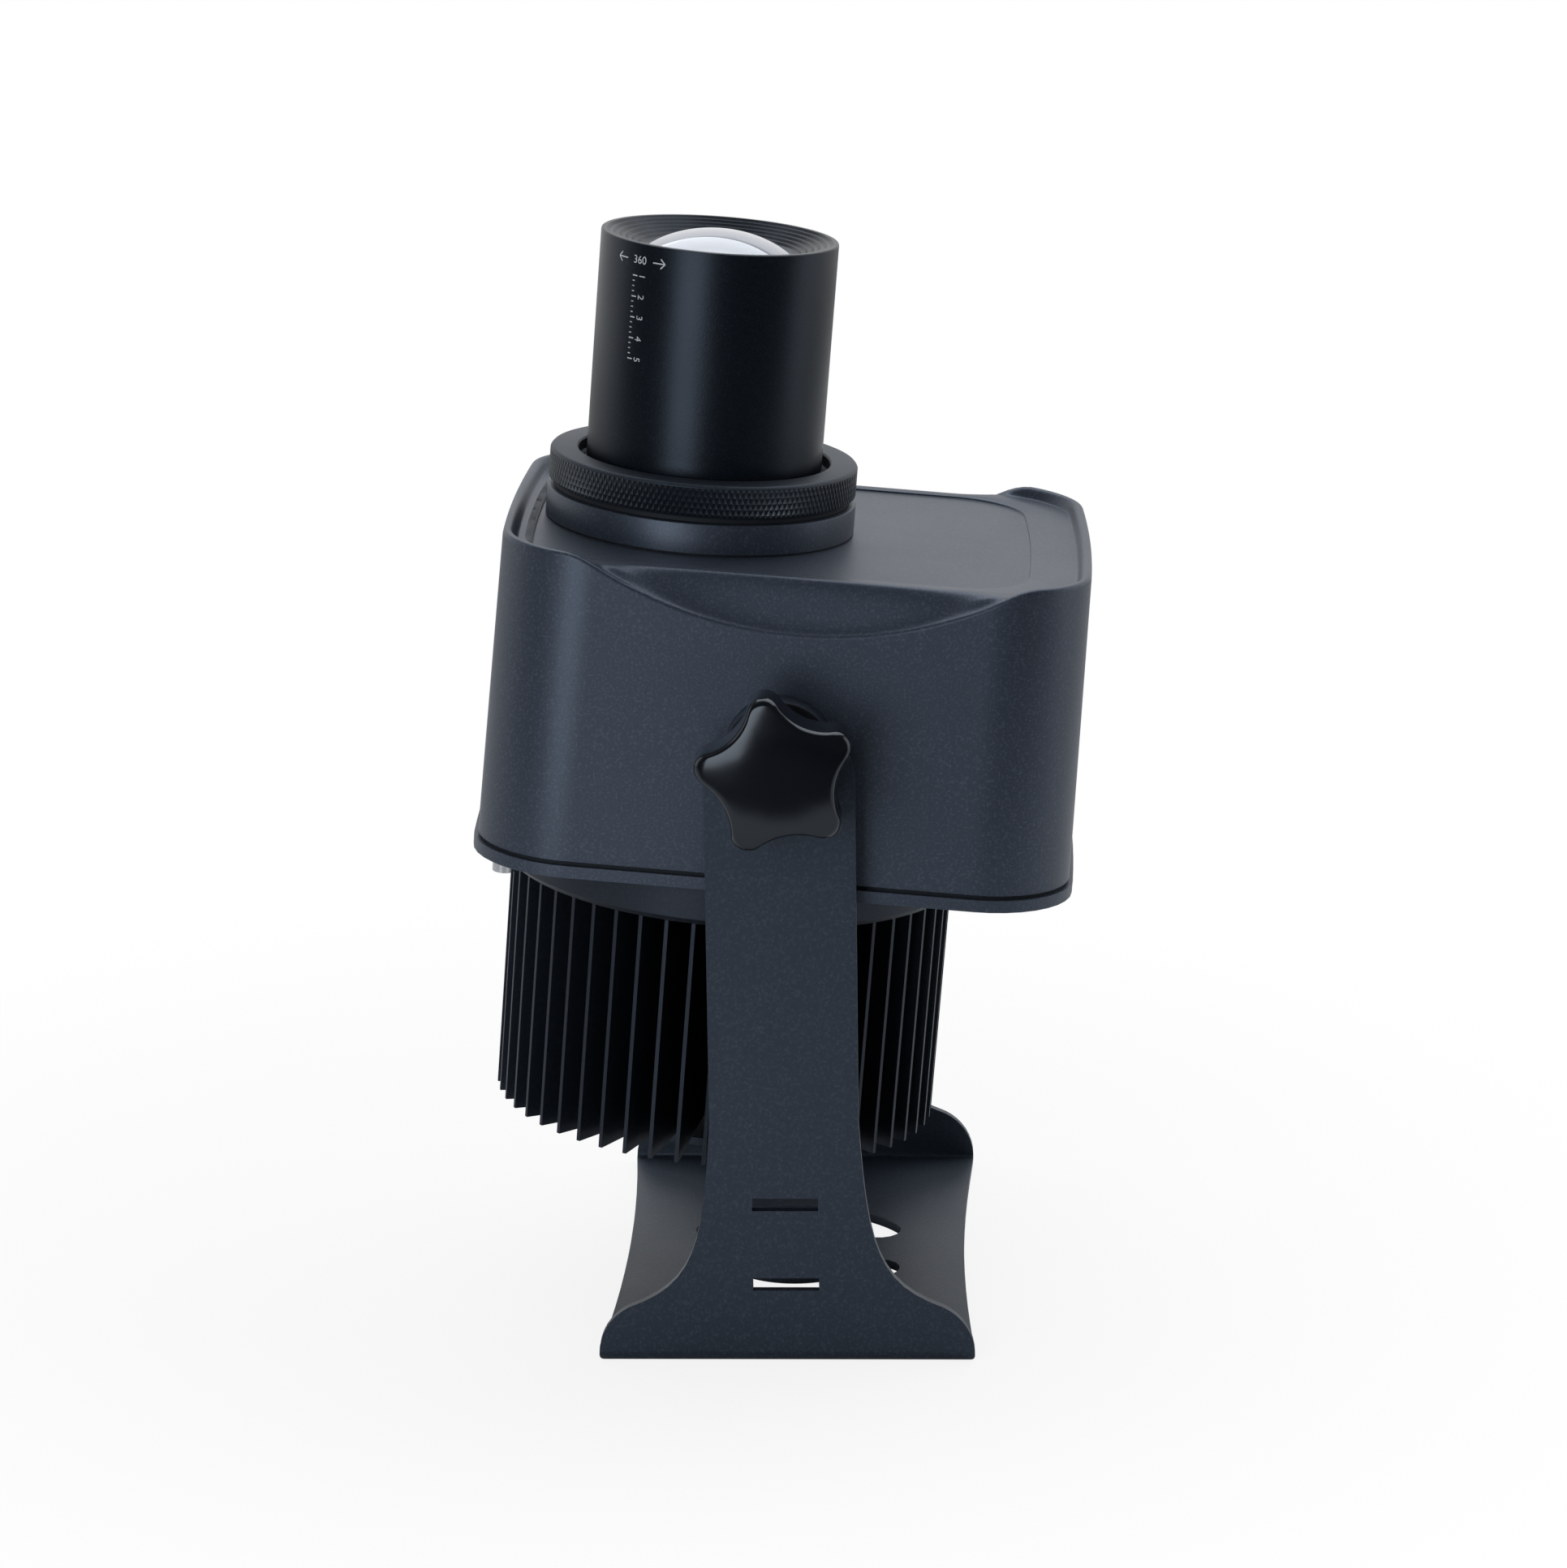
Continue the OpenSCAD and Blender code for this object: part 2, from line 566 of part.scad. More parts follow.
module rear_cover() color("#2f353f") head() difference() {
    translate([shell_x, 0, cover_bottom_z]) linear_extrude(cover_h) polygon(
        plain_outline(shell_l / 2 + cover_lip, cover_half_y, shell_corner + cover_lip));
    translate([shell_x, 0, plate_top_z]) linear_extrude(cover_h) difference() {
        polygon(plain_outline(cavity_x, cavity_y, cavity_corner));
        for (p = cover_screw_spots) translate([p[0] - shell_x, p[1]]) circle(r = screw_boss_r);
    }
    translate([sink_x, 0, cover_bottom_z - 1]) cylinder(r = pedestal_r + 0.5, h = cover_t + 2);
    for (p = cover_screw_spots) translate([p[0], p[1], cover_bottom_z - 1])
        cylinder(d = cover_screw_d + 2 * loose, h = cover_h + 2);
    sink_screw_places() translate([0, 0, cover_bottom_z - 1])
        cylinder(d = cover_screw_d + 2 * loose, h = cover_t + 2);
    driver_screw_places(cover_bottom_z + 1) cylinder(d = small_screw_d + 2 * fit, h = cover_t + 2);
}

module rear_cover_screws() color("#c9ccd0") head() for (p = cover_screw_spots)
    translate([p[0], p[1], cover_bottom_z]) screw_up(cover_screw_d, cover_h + gasket_t + 14);

// Heatsink

module sink_screw_places() {
    for (n = [0:sink_screw_n - 1]) translate([sink_x, 0, 0]) rotate([0, 0, (n + 0.5) * sink_screw_step])
        translate([sink_screw_r, 0, 0]) children();
}

seal_w = 3;
seal_r = pedestal_r + 2 + seal_w / 2;

module heatsink() color("#15171b") head() difference() {
    translate([sink_x, 0, 0]) union() {
        translate([0, 0, fin_bottom_z]) linear_extrude(sink_fin_l + 1) polygon(fin_outline);
        rotate_extrude() polygon([[0, flange_bottom_z], [sink_flange_r - 2, flange_bottom_z],
            [sink_flange_r, flange_bottom_z + 2], [sink_flange_r, cover_bottom_z],
            [pedestal_r, cover_bottom_z], [pedestal_r, pedestal_z], [0, pedestal_z]]);
    }
    on_axis_groove();
    sink_screw_places() translate([0, 0, cover_bottom_z - 9]) cylinder(d = cover_screw_d + 2 * fit, h = 10);
    translate([gland_x, 0, fin_bottom_z - 1]) cylinder(r = core_bore_r, h = pedestal_z - fin_bottom_z + 2);
    standoff_places() translate([0, 0, fin_bottom_z - 1]) cylinder(d = small_screw_d + 2 * fit, h = 9);
    board_screw_places() translate([0, 0, pedestal_z - 8]) cylinder(d = small_screw_d + 2 * fit, h = 9);
    tube_screw_places() translate([0, 0, pedestal_z - 8]) cylinder(d = small_screw_d + 2 * fit, h = 9);
}

module on_axis_groove() {
    translate([sink_x, 0, 0]) ring(seal_r + seal_w / 2 + seat, seal_r - seal_w / 2 - seat,
        cover_bottom_z - 1.3, cover_bottom_z + 1);
}

module heatsink_seal() color("#1a1a1a") on_sink(0)
    ring(seal_r + seal_w / 2, seal_r - seal_w / 2, cover_bottom_z - 1.3, cover_bottom_z);

module heatsink_screws() color("#b8bcc2") head()
    sink_screw_places() translate([0, 0, plate_top_z]) screw_down(cover_screw_d, cover_t + 8);

// End plate and gland

module standoff_places() {
    for (a = [45:90:315]) translate([sink_x, 0, 0]) rotate([0, 0, a]) translate([standoff_r, 0, 0]) children();
}

module end_plate() color("#1d2026") head() difference() {
    translate([sink_x, 0, 0]) ring(end_plate_r, 0, end_bottom_z, end_top_z);
    translate([gland_x, 0, end_bottom_z - 1]) cylinder(r = gland_thread_r + seat, h = end_plate_t + 2);
    standoff_places() translate([0, 0, end_bottom_z - 1])
        cylinder(d = small_screw_d + 2 * loose, h = end_plate_t + 2);
}

module end_plate_standoffs() color("#c4c8cd") head() standoff_places() difference() {
    union() {
        translate([0, 0, end_top_z]) cylinder(d = 6.4, h = standoff_l, $fn = 6);
        translate([0, 0, fin_bottom_z - eps]) cylinder(d = small_screw_d, h = 6);
    }
    translate([0, 0, end_top_z - 1]) cylinder(d = small_screw_d + 2 * fit, h = standoff_l - 1);
}

module end_plate_screws() color("#c9ccd0") head()
    standoff_places() translate([0, 0, end_bottom_z]) screw_up(small_screw_d, end_plate_t + standoff_l - 3);

hex_t = 4.5;
nut_t = 3.5;

module on_gland(z) {
    head() translate([gland_x, 0, z]) children();
}

module gland_body() color("#22252b") on_gland(0) difference() {
    union() {
        translate([0, 0, end_bottom_z - hex_t]) cylinder(r = gland_cap_r, h = hex_t, $fn = 6);
        translate([0, 0, end_bottom_z - eps]) cylinder(r = gland_thread_r, h = end_plate_t + nut_t + 1 + eps);
        translate([0, 0, end_bottom_z - hex_t - 6]) cylinder(r = gland_thread_r, h = 6 + eps);
    }
    translate([0, 0, end_bottom_z - hex_t - 7]) cylinder(r = cable_d / 2 + 1.6, h = 40);
}

module gland_locknut() color("#22252b") on_gland(end_top_z) difference() {
    cylinder(r = gland_cap_r + 0.6, h = nut_t, $fn = 6);
    translate([0, 0, -1]) cylinder(r = gland_thread_r + fit, h = nut_t + 2);
}

module gland_seal() color("#101010") on_gland(end_bottom_z - hex_t - 6.5) difference() {
    cylinder(r = cable_d / 2 + 1.6 - fit, h = 9);
    translate([0, 0, -1]) cylinder(r = cable_d / 2, h = 11);
}

module gland_cap() color("#22252b") on_gland(end_bottom_z - hex_t - gland_cap_l) difference() {
    rotate_extrude() polygon([[0, 0], [gland_cap_r - 3.5, 0], [gland_cap_r - 1.4, 1.2], [gland_cap_r - 0.4, 3],
        [gland_cap_r, 5], [gland_cap_r, gland_cap_l - seat], [0, gland_cap_l - seat]]);
    translate([0, 0, -1]) cylinder(r = cable_d / 2 + 0.6, h = gland_cap_l + 2);
    translate([0, 0, gland_cap_l - 6.8]) cylinder(r = gland_thread_r + fit, h = 8);
}

// Light source

board_screw_off = board_w / 2 - 4;

module board_screw_places() {
    for (sx = [-1, 1], sy = [-1, 1]) translate([lens_x + sx * board_screw_off, sy * board_screw_off, 0]) children();
}

module led_board() color("#e8e6dc") head() difference() {
    translate([lens_x - board_w / 2, -board_w / 2, pedestal_z]) cube([board_w, board_w, board_t]);
    board_screw_places() translate([0, 0, pedestal_z - 1]) cylinder(d = small_screw_d + 2 * loose, h = board_t + 2);
}

module led_emitter() color("#f2d44a") on_lens(board_top_z) cylinder(r = emitter_r, h = 1.5);

module led_board_screws() color("#c9ccd0") head()
    board_screw_places() translate([0, 0, board_top_z]) screw_down(small_screw_d, board_t + 6);

module tube_screw_places() {
    for (a = [45:90:315]) translate([lens_x, 0, 0]) rotate([0, 0, a]) translate([tube_screw_r, 0, 0]) children();
}

module condenser_tube() color("#1c1e22") head() difference() {
    translate([lens_x, 0, 0]) rotate_extrude() polygon([
        [tube_skirt_r, pedestal_z], [tube_flange_r, pedestal_z], [tube_flange_r, pedestal_z + 3],
        [tube_skirt_r + tube_wall, pedestal_z + 3], [tube_skirt_r + tube_wall, lens_a_z - 3],
        [condenser_r + tube_wall, lens_a_z], [condenser_r + tube_wall, tube_top_z - 4],
        [holder_flange_r, tube_top_z - 4], [holder_flange_r, tube_top_z], [condenser_r + fit, tube_top_z],
        [condenser_r + fit, lens_a_z], [condenser_r - 2.5, lens_a_z], [condenser_r - 2.5, lens_a_z - 2.5],
        [tube_skirt_r, lens_a_z - 5]]);
    tube_screw_places() translate([0, 0, pedestal_z - 1]) cylinder(d = small_screw_d + 2 * fit, h = 5);
    translate([lens_x + tube_skirt_r - 2, -5, pedestal_z - 1]) cube([tube_flange_r - tube_skirt_r + 4, 10, 7]);
    holder_screw_places() translate([0, 0, tube_top_z - 4]) cylinder(d = small_screw_d + 2 * fit, h = 5);
}

module condenser_screws() color("#c9ccd0") head()
    tube_screw_places() translate([0, 0, pedestal_z + 3 + seat]) screw_down(small_screw_d, 9);

module condenser_lens_rear() color("#cfe3ee") on_lens(lens_a_z) intersection() {
    cylinder(r = condenser_r, h = lens_a_t);
    translate([0, 0, lens_a_t - lens_a_curve]) sphere(r = lens_a_curve, $fn = 128);
}

module condenser_spacer() color("#1c1e22") on_lens(0)
    ring(condenser_r, ring_in_r, lens_a_rest_z, lens_b_z - seat);

module condenser_lens_front() color("#cfe3ee") on_lens(lens_b_z) intersection() {
    cylinder(r = condenser_r, h = lens_b_t);
    translate([0, 0, lens_b_t - lens_b_curve]) sphere(r = lens_b_curve, $fn = 128);
}

module condenser_ring() color("#1c1e22") on_lens(0)
    ring(condenser_r, ring_in_r, lens_b_rest_z, lens_b_rest_z + 3);

holder_screw_r = condenser_r + 3.9;

module holder_screw_places() {
    for (a = [30, 150, 270]) translate([lens_x, 0, 0]) rotate([0, 0, a]) translate([holder_screw_r, 0, 0]) children();
}

gobo_z = tube_top_z + 2.5;

module gobo_holder() color("#8f949b") head() difference() {
    translate([lens_x, 0, 0]) rotate_extrude() polygon([
        [gobo_r - 4, tube_top_z], [holder_flange_r, tube_top_z], [holder_flange_r, holder_top_z],
        [gobo_r + seat, holder_top_z], [gobo_r + seat, gobo_z], [gobo_r - 4, gobo_z]]);
    holder_screw_places() translate([0, 0, tube_top_z - 1]) cylinder(d = small_screw_d + 2 * loose, h = holder_h + 2);
}

module gobo_disc() color("#d6d9dc") on_lens(gobo_z) difference() {
    cylinder(r = gobo_r, h = gobo_t);
    for (a = [0:60:300]) rotate([0, 0, a]) translate([gobo_r * 0.5, 0, -1]) cylinder(r = gobo_r * 0.16, h = gobo_t + 2);
}

module gobo_spring_ring() color("#b8bcc2") on_lens(0) difference() {
    ring(gobo_r, gobo_r - 1.6, gobo_z + gobo_t, gobo_z + gobo_t + 1.2);
    translate([0, -3, gobo_z]) cube([gobo_r + 5, 6, 8]);
}

module gobo_holder_screws() color("#c9ccd0") head()
    holder_screw_places() translate([0, 0, holder_top_z]) screw_down(small_screw_d, holder_h + 2.8);

// Driver

driver_x0 = sink_x + sink_screw_r * cos(sink_screw_step / 2) + cover_screw_d + 0.5;
driver_gap = 3.3; // gap between the driver and the shell's end wall
driver_w = shell_x + shell_l / 2 - wall - driver_gap - driver_x0;
driver_screw_in = 0.28 * driver_w;
driver_half_y = 37;
driver_h = 34;
driver_ear = 6.5;
terminal_l = 0.44 * driver_w;

module driver_screw_places(z) {
    for (dx = [driver_screw_in, driver_w - driver_screw_in], sy = [-1, 1])
        translate([driver_x0 + dx, sy * (driver_half_y + driver_ear / 2), z]) children();
}

module led_driver() color("#9aa0a6") head() difference() {
    union() {
        translate([driver_x0, -driver_half_y, plate_top_z]) cube([driver_w, 2 * driver_half_y, driver_h]);
        translate([driver_x0, -driver_half_y - driver_ear, plate_top_z])
            cube([driver_w, 2 * (driver_half_y + driver_ear), 2]);
    }
    driver_screw_places(plate_top_z - 1) cylinder(d = small_screw_d + 2 * loose, h = 4);
}

module driver_screws() color("#c9ccd0") head()
    driver_screw_places(plate_top_z + 2) screw_down(small_screw_d, 3.6);

module terminal_block() color("#d8d8d4") head() difference() {
    translate([driver_x0 + driver_w / 4, -14, plate_top_z + driver_h]) cube([terminal_l, 28, 11]);
    for (y = [-9, 0, 9]) translate([driver_x0 + driver_w / 4 + terminal_l / 2, y, plate_top_z + driver_h + 6])
        cylinder(d = 0.3 * terminal_l, h = 6);
}

// Focus tube

collar_screw_r = (sleeve_r + collar_r) / 2;
slot_bottom_z = pin_z - travel_in - pin_r - 0.3;
slot_top_z = pin_z + travel_out + pin_r + 0.3;

module lens_collar() color("#2b3038") head() difference() {
    translate([lens_x, 0, 0]) rotate_extrude() polygon([
        [bore_r, sleeve_bottom_z], [sleeve_r, sleeve_bottom_z], [sleeve_r, floor_z - panel_sink + collar_gasket_t],
        [collar_r, floor_z - panel_sink + collar_gasket_t], [collar_r, collar_top_z - 0.6],
        [collar_r - 0.6, collar_top_z], [bore_r, collar_top_z]]);
    for (s = [-1, 1]) translate([lens_x + s * sleeve_r - 5, -pin_r - fit, slot_bottom_z])
        cube([10, 2 * (pin_r + fit), slot_top_z - slot_bottom_z]);
    for (a = [45:90:315]) translate([lens_x, 0, floor_z - 2]) rotate([0, 0, a])
        translate([collar_screw_r, 0, 0]) cylinder(d = small_screw_d + 2 * fit, h = 8);
}

module collar_gasket() color("#17181a") on_lens(floor_z - panel_sink) difference() {
    ring(collar_r - 0.4, sleeve_r + 0.6, 0, collar_gasket_t);
    for (a = [45:90:315]) rotate([0, 0, a]) translate([collar_screw_r, 0, -1])
        cylinder(d = small_screw_d + 2 * loose, h = 3);
}

module collar_screws() color("#c9ccd0") on_lens(ceiling_z - panel_sink)
    for (a = [45:90:315]) rotate([0, 0, a]) translate([collar_screw_r, 0, 0]) screw_up(small_screw_d, wall + 5.4);

clip_z = carriage_top_z + spigot_l / 2;
clip_t = 1.2;

module focus_carriage() color("#8f949b") on_lens(0) difference() {
    rotate_extrude() polygon([
        [rear_lens_r + seat, carriage_bottom_z], [carriage_r, carriage_bottom_z], [carriage_r, carriage_top_z],
        [spigot_r, carriage_top_z], [spigot_r, carriage_top_z + spigot_l],
        [rear_lens_r - 2, carriage_top_z + spigot_l], [rear_lens_r - 2, carriage_top_z - 1],
        [rear_lens_r + seat, carriage_top_z - 1]]);
    difference() {
        ring(spigot_r + 2, spigot_r - 1.2, clip_z - clip_t / 2 - seat, clip_z + clip_t / 2 + seat);
    }
    for (s = [0, 1]) rotate([0, 0, 180 * s]) translate([carriage_r - 6, 0, pin_z]) rotate([0, 90, 0])
        cylinder(r = pin_r + fit, h = 10);
}

module guide_pins() color("#b8bcc2") on_lens(pin_z) for (s = [0, 1]) rotate([0, 0, 180 * s])
    translate([carriage_r - 6, 0, 0]) rotate([0, 90, 0]) cylinder(r = pin_r, h = sleeve_r - carriage_r + 6);

module carriage_clip() color("#b8bcc2") on_lens(clip_z) difference() {
    ring(spigot_r + 1.1, spigot_r - 1.1, -clip_t / 2, clip_t / 2);
    translate([0, -2.5, -2]) cube([spigot_r + 5, 5, 4]);
}

module rear_lens() color("#cfe3ee") on_lens(carriage_bottom_z + 1) intersection() {
    cylinder(r = rear_lens_r, h = carriage_h - 2);
    translate([0, 0, carriage_h - 2 - 2.4 * rear_lens_r]) sphere(r = 2.4 * rear_lens_r, $fn = 128);
}

module rear_lens_ring() color("#1c1e22") on_lens(0)
    ring(rear_lens_r, rear_lens_r - 2.5, carriage_bottom_z, carriage_bottom_z + 1);

step_w = (barrel_r - mouth_rim - front_lens_r + 1) / mouth_steps;
step_h = (barrel_top_z - front_edge_z - 1) / mouth_steps;
mouth = [for (n = [0:mouth_steps - 1]) each [
    [barrel_r - mouth_rim - n * step_w, barrel_top_z - n * step_h],
    [barrel_r - mouth_rim - n * step_w - 0.25 * step_w, barrel_top_z - (n + 1) * step_h]]];

module lens_barrel() color("#14161a") on_lens(0) difference() {
    rotate_extrude() polygon(concat([
        [spigot_r + fit, barrel_bottom_z], [thread_r - 1, barrel_bottom_z], [thread_r, barrel_bottom_z + 1],
        [thread_r, thread_top_z - 0.8], [thread_r - 0.8, thread_top_z], [barrel_r, thread_top_z],
        [barrel_r, barrel_top_z - 0.5], [barrel_r - 0.5, barrel_top_z]],
        mouth, [
        [front_lens_r - 1, front_edge_z + 0.8], [front_lens_r + seat, front_edge_z],
        [front_lens_r + seat, inner_back_z - inner_ring_t], [barrel_bore_r, inner_back_z - inner_ring_t - 6],
        [barrel_bore_r, barrel_bottom_z + spigot_l + 4], [spigot_r + fit, barrel_bottom_z + spigot_l]]));
    ring(spigot_r + 1.6, spigot_r - 1, clip_z - clip_t / 2 - 0.3, clip_z + clip_t / 2 + 0.3);
}

module front_lens() color("#dfe9f0") on_lens(0) intersection() {
    translate([0, 0, front_back_z]) cylinder(r = front_lens_r, h = front_lens_sag + front_edge_t);
    translate([0, 0, lens_apex_z - front_lens_curve]) sphere(r = front_lens_curve, $fn = 128);
}

module lens_spacer() color("#1c1e22") on_lens(0)
    ring(front_lens_r, front_lens_r - 2, inner_top_z + seat, front_back_z - seat);

module inner_lens() color("#cfe3ee") on_lens(inner_back_z) intersection() {
    cylinder(r = front_lens_r, h = inner_lens_t);
    translate([0, 0, 2.6 * front_lens_r]) sphere(r = 2.6 * front_lens_r, $fn = 128);
}

module inner_lens_ring() color("#1c1e22") on_lens(0)
    ring(front_lens_r, front_lens_r - 3, inner_back_z - inner_ring_t + 0.5, inner_back_z);

// Lock ring

module lock_ring_seal() color("#0e0f10") on_lens(0)
    ring(lock_r - 1.6, thread_r + 1, collar_top_z + seat, lock_bottom_z - seat);

module lock_ring() color("#23272e") on_lens(0) rotate_extrude() polygon([
    [bore_r, lock_bottom_z], [lock_r - 0.4, lock_bottom_z], [lock_r, lock_bottom_z + 0.4],
    [lock_r, lock_top_z - 0.8], [lock_r - 0.8, lock_top_z], [thread_r + 1.2, lock_top_z],
    [thread_r + 0.9, lock_top_z - 0.6], [thread_r + 0.9, thread_top_z + 0.4], [bore_r, thread_top_z - 0.5]]);

// Star knobs, drawn on the near side and mirrored for the far one

washer_y = arm_out_y + seat;
hub_y = washer_y + knob_washer_t + seat;
star_y = hub_y + knob_hub_l;
face_y = star_y + knob_t;
dome_r = (pow(knob_tip_r, 2) + pow(knob_dome, 2)) / (2 * knob_dome);

module knob_washer() difference() {
    near_cylinder(knob_hub_d / 2 + 1, washer_y, washer_y + knob_washer_t);
    near_cylinder(stud_d / 2 + loose, washer_y - 1, washer_y + knob_washer_t + 1);
}

module star_body() translate([0, -star_y, 0]) rotate([90, knob_phase, 0]) intersection() {
    union() {
        linear_extrude(knob_t + knob_dome) polygon(star(1));
    }
    translate([0, 0, knob_t + knob_dome - dome_r]) sphere(r = dome_r, $fn = 128);
}

module knob() difference() {
    union() {
        star_body();
        near_cylinder(knob_hub_d / 2, hub_y, star_y + 1);
    }
    near_cylinder(stud_d / 2 + fit, hub_y - 1, star_y + 6);
}

module knob_stud() near_cylinder(stud_d / 2, boss_y - insert_l + 1.5, star_y + 5.9);

module knob_washer_near() color("#b8bcc2") head() knob_washer();
module knob_near() color("#0d0f12") head() knob();
module knob_stud_near() color("#b8bcc2") head() knob_stud();
module knob_washer_far() color("#b8bcc2") head() mirror([0, 1, 0]) knob_washer();
module knob_far() color("#0d0f12") head() mirror([0, 1, 0]) knob();
module knob_stud_far() color("#b8bcc2") head() mirror([0, 1, 0]) knob_stud();

yoke_bracket();
friction_washers();
pivot_inserts();
front_housing();
housing_gasket();
rear_cover();
rear_cover_screws();
heatsink();
heatsink_seal();
heatsink_screws();
end_plate();
end_plate_standoffs();
end_plate_screws();
gland_body();
gland_locknut();
gland_seal();
gland_cap();
led_board();
led_emitter();
led_board_screws();
condenser_tube();
condenser_screws();
condenser_lens_rear();
condenser_spacer();
condenser_lens_front();
condenser_ring();
gobo_holder();
gobo_disc();
gobo_spring_ring();
gobo_holder_screws();
led_driver();
driver_screws();
terminal_block();
lens_collar();
collar_gasket();
collar_screws();
focus_carriage();
guide_pins();
carriage_clip();
rear_lens();
rear_lens_ring();
lens_barrel();
front_lens();
lens_spacer();
inner_lens();
inner_lens_ring();
lock_ring_seal();
lock_ring();
knob_washer_near();
knob_near();
knob_stud_near();
knob_washer_far();
knob_far();
knob_stud_far();
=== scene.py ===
import json
import math

import bmesh
import bpy
from mathutils import Matrix, Vector


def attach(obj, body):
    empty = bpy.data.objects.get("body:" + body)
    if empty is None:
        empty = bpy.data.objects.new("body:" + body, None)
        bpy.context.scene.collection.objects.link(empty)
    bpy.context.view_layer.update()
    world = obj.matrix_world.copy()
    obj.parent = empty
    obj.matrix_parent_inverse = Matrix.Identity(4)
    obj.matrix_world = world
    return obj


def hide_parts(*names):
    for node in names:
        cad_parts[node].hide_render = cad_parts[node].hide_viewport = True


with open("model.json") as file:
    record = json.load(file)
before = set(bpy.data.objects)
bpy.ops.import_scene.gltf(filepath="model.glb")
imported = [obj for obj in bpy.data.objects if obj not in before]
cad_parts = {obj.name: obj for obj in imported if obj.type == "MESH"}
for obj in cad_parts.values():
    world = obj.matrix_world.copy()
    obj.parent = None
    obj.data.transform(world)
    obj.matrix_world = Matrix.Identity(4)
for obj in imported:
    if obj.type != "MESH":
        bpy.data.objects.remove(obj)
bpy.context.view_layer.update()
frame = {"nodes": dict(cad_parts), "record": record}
mm = 0.001

# the head leans in the yoke, and the lens stands beside the tilt axis
head = {"height": 200, "lean": 5.1, "lensX": -33.1}
lean = math.radians(head["lean"])
headPlace = Matrix.Translation((0, 0, head["height"] * mm)) @ Matrix.Rotation(lean, 4, "Y")
lensPlace = headPlace @ Matrix.Translation((head["lensX"] * mm, 0, 0))


# camera

view = {
    "place": (0.056665, -1.474844, 0.578353),
    "right": (0.99925454, 0.03627592, -0.0132069),
    "up": (0.00294992, 0.26935253, 0.96303713),
    "ahead": (-0.03849237, 0.96235818, -0.26904472),
    "lens": 107.01,
}


def addCamera():
    data = bpy.data.cameras.new("camera")
    data.sensor_fit = "HORIZONTAL"
    data.sensor_width = 36
    data.lens = view["lens"]
    data.clip_end = 50
    camera = bpy.data.objects.new("camera", data)
    bpy.context.scene.collection.objects.link(camera)
    turn = Matrix((view["right"], view["up"], [-v for v in view["ahead"]])).transposed()
    camera.matrix_world = Matrix.Translation(view["place"]) @ turn.to_4x4()
    bpy.context.scene.camera = camera


addCamera()
print("camera placed")


# finishes

class Value:  # a socket that can be reckoned with
    def __init__(self, tree, socket):
        self.tree, self.socket = tree, socket

    def reckon(self, operation, first, second):
        node = addNode(self.tree, "ShaderNodeMath", {"operation": operation}, {0: first, 1: second})
        return Value(self.tree, node.outputs[0])

    def __add__(self, other):
        return self.reckon("ADD", self, other)

    def __radd__(self, other):
        return self.reckon("ADD", other, self)

    def __sub__(self, other):
        return self.reckon("SUBTRACT", self, other)

    def __rsub__(self, other):
        return self.reckon("SUBTRACT", other, self)

    def __mul__(self, other):
        return self.reckon("MULTIPLY", self, other)

    def __rmul__(self, other):
        return self.reckon("MULTIPLY", other, self)


def addNode(tree, kind, settings=None, inputs=None):
    node = tree.nodes.new(kind)
    for name, setting in (settings or {}).items():
        if name == "stops":
            ramp = node.color_ramp
            while len(ramp.elements) < len(setting):
                ramp.elements.new(0.5)
            for element, (position, shade) in zip(ramp.elements, setting):
                element.position = position
                element.color = (shade, shade, shade, 1)
        else:
            setattr(node, name, setting)
    for name, given in (inputs or {}).items():
        if isinstance(given, Value):
            tree.links.new(given.socket, node.inputs[name])
        else:
            node.inputs[name].default_value = given
    return node


def newMaterial(name):
    material = bpy.data.materials.new(name)
    material.use_nodes = True
    tree = material.node_tree
    tree.nodes.clear()
    return material, tree


def closeMaterial(tree, shader):
    out = addNode(tree, "ShaderNodeOutputMaterial")
    tree.links.new(shader.outputs[0], out.inputs["Surface"])


def noise(tree, scale, detail, turn=0.0):
    coords = addNode(tree, "ShaderNodeTexCoord")
    mapped = addNode(tree, "ShaderNodeMapping", {}, {
        "Vector": Value(tree, coords.outputs["Object"]), "Rotation": (0, turn, 0)})
    node = addNode(tree, "ShaderNodeTexNoise", {}, {
        "Vector": Value(tree, mapped.outputs[0]), "Scale": scale, "Detail": detail, "Roughness": 0.55})
    return Value(tree, node.outputs["Fac"])


def blendColour(tree, share, first, second):
    node = addNode(tree, "ShaderNodeMix", {"data_type": "RGBA"}, {
        "Factor": share, "A": (*first, 1), "B": (*second, 1)})
    return Value(tree, node.outputs["Result"])


def ramp(tree, share, stops):
    node = addNode(tree, "ShaderNodeValToRGB", {"stops": stops}, {"Fac": share})
    return Value(tree, node.outputs["Color"])


def bump(tree, height, distance, strength):
    node = addNode(tree, "ShaderNodeBump", {}, {"Height": height, "Distance": distance, "Strength": strength})
    return Value(tree, node.outputs["Normal"])


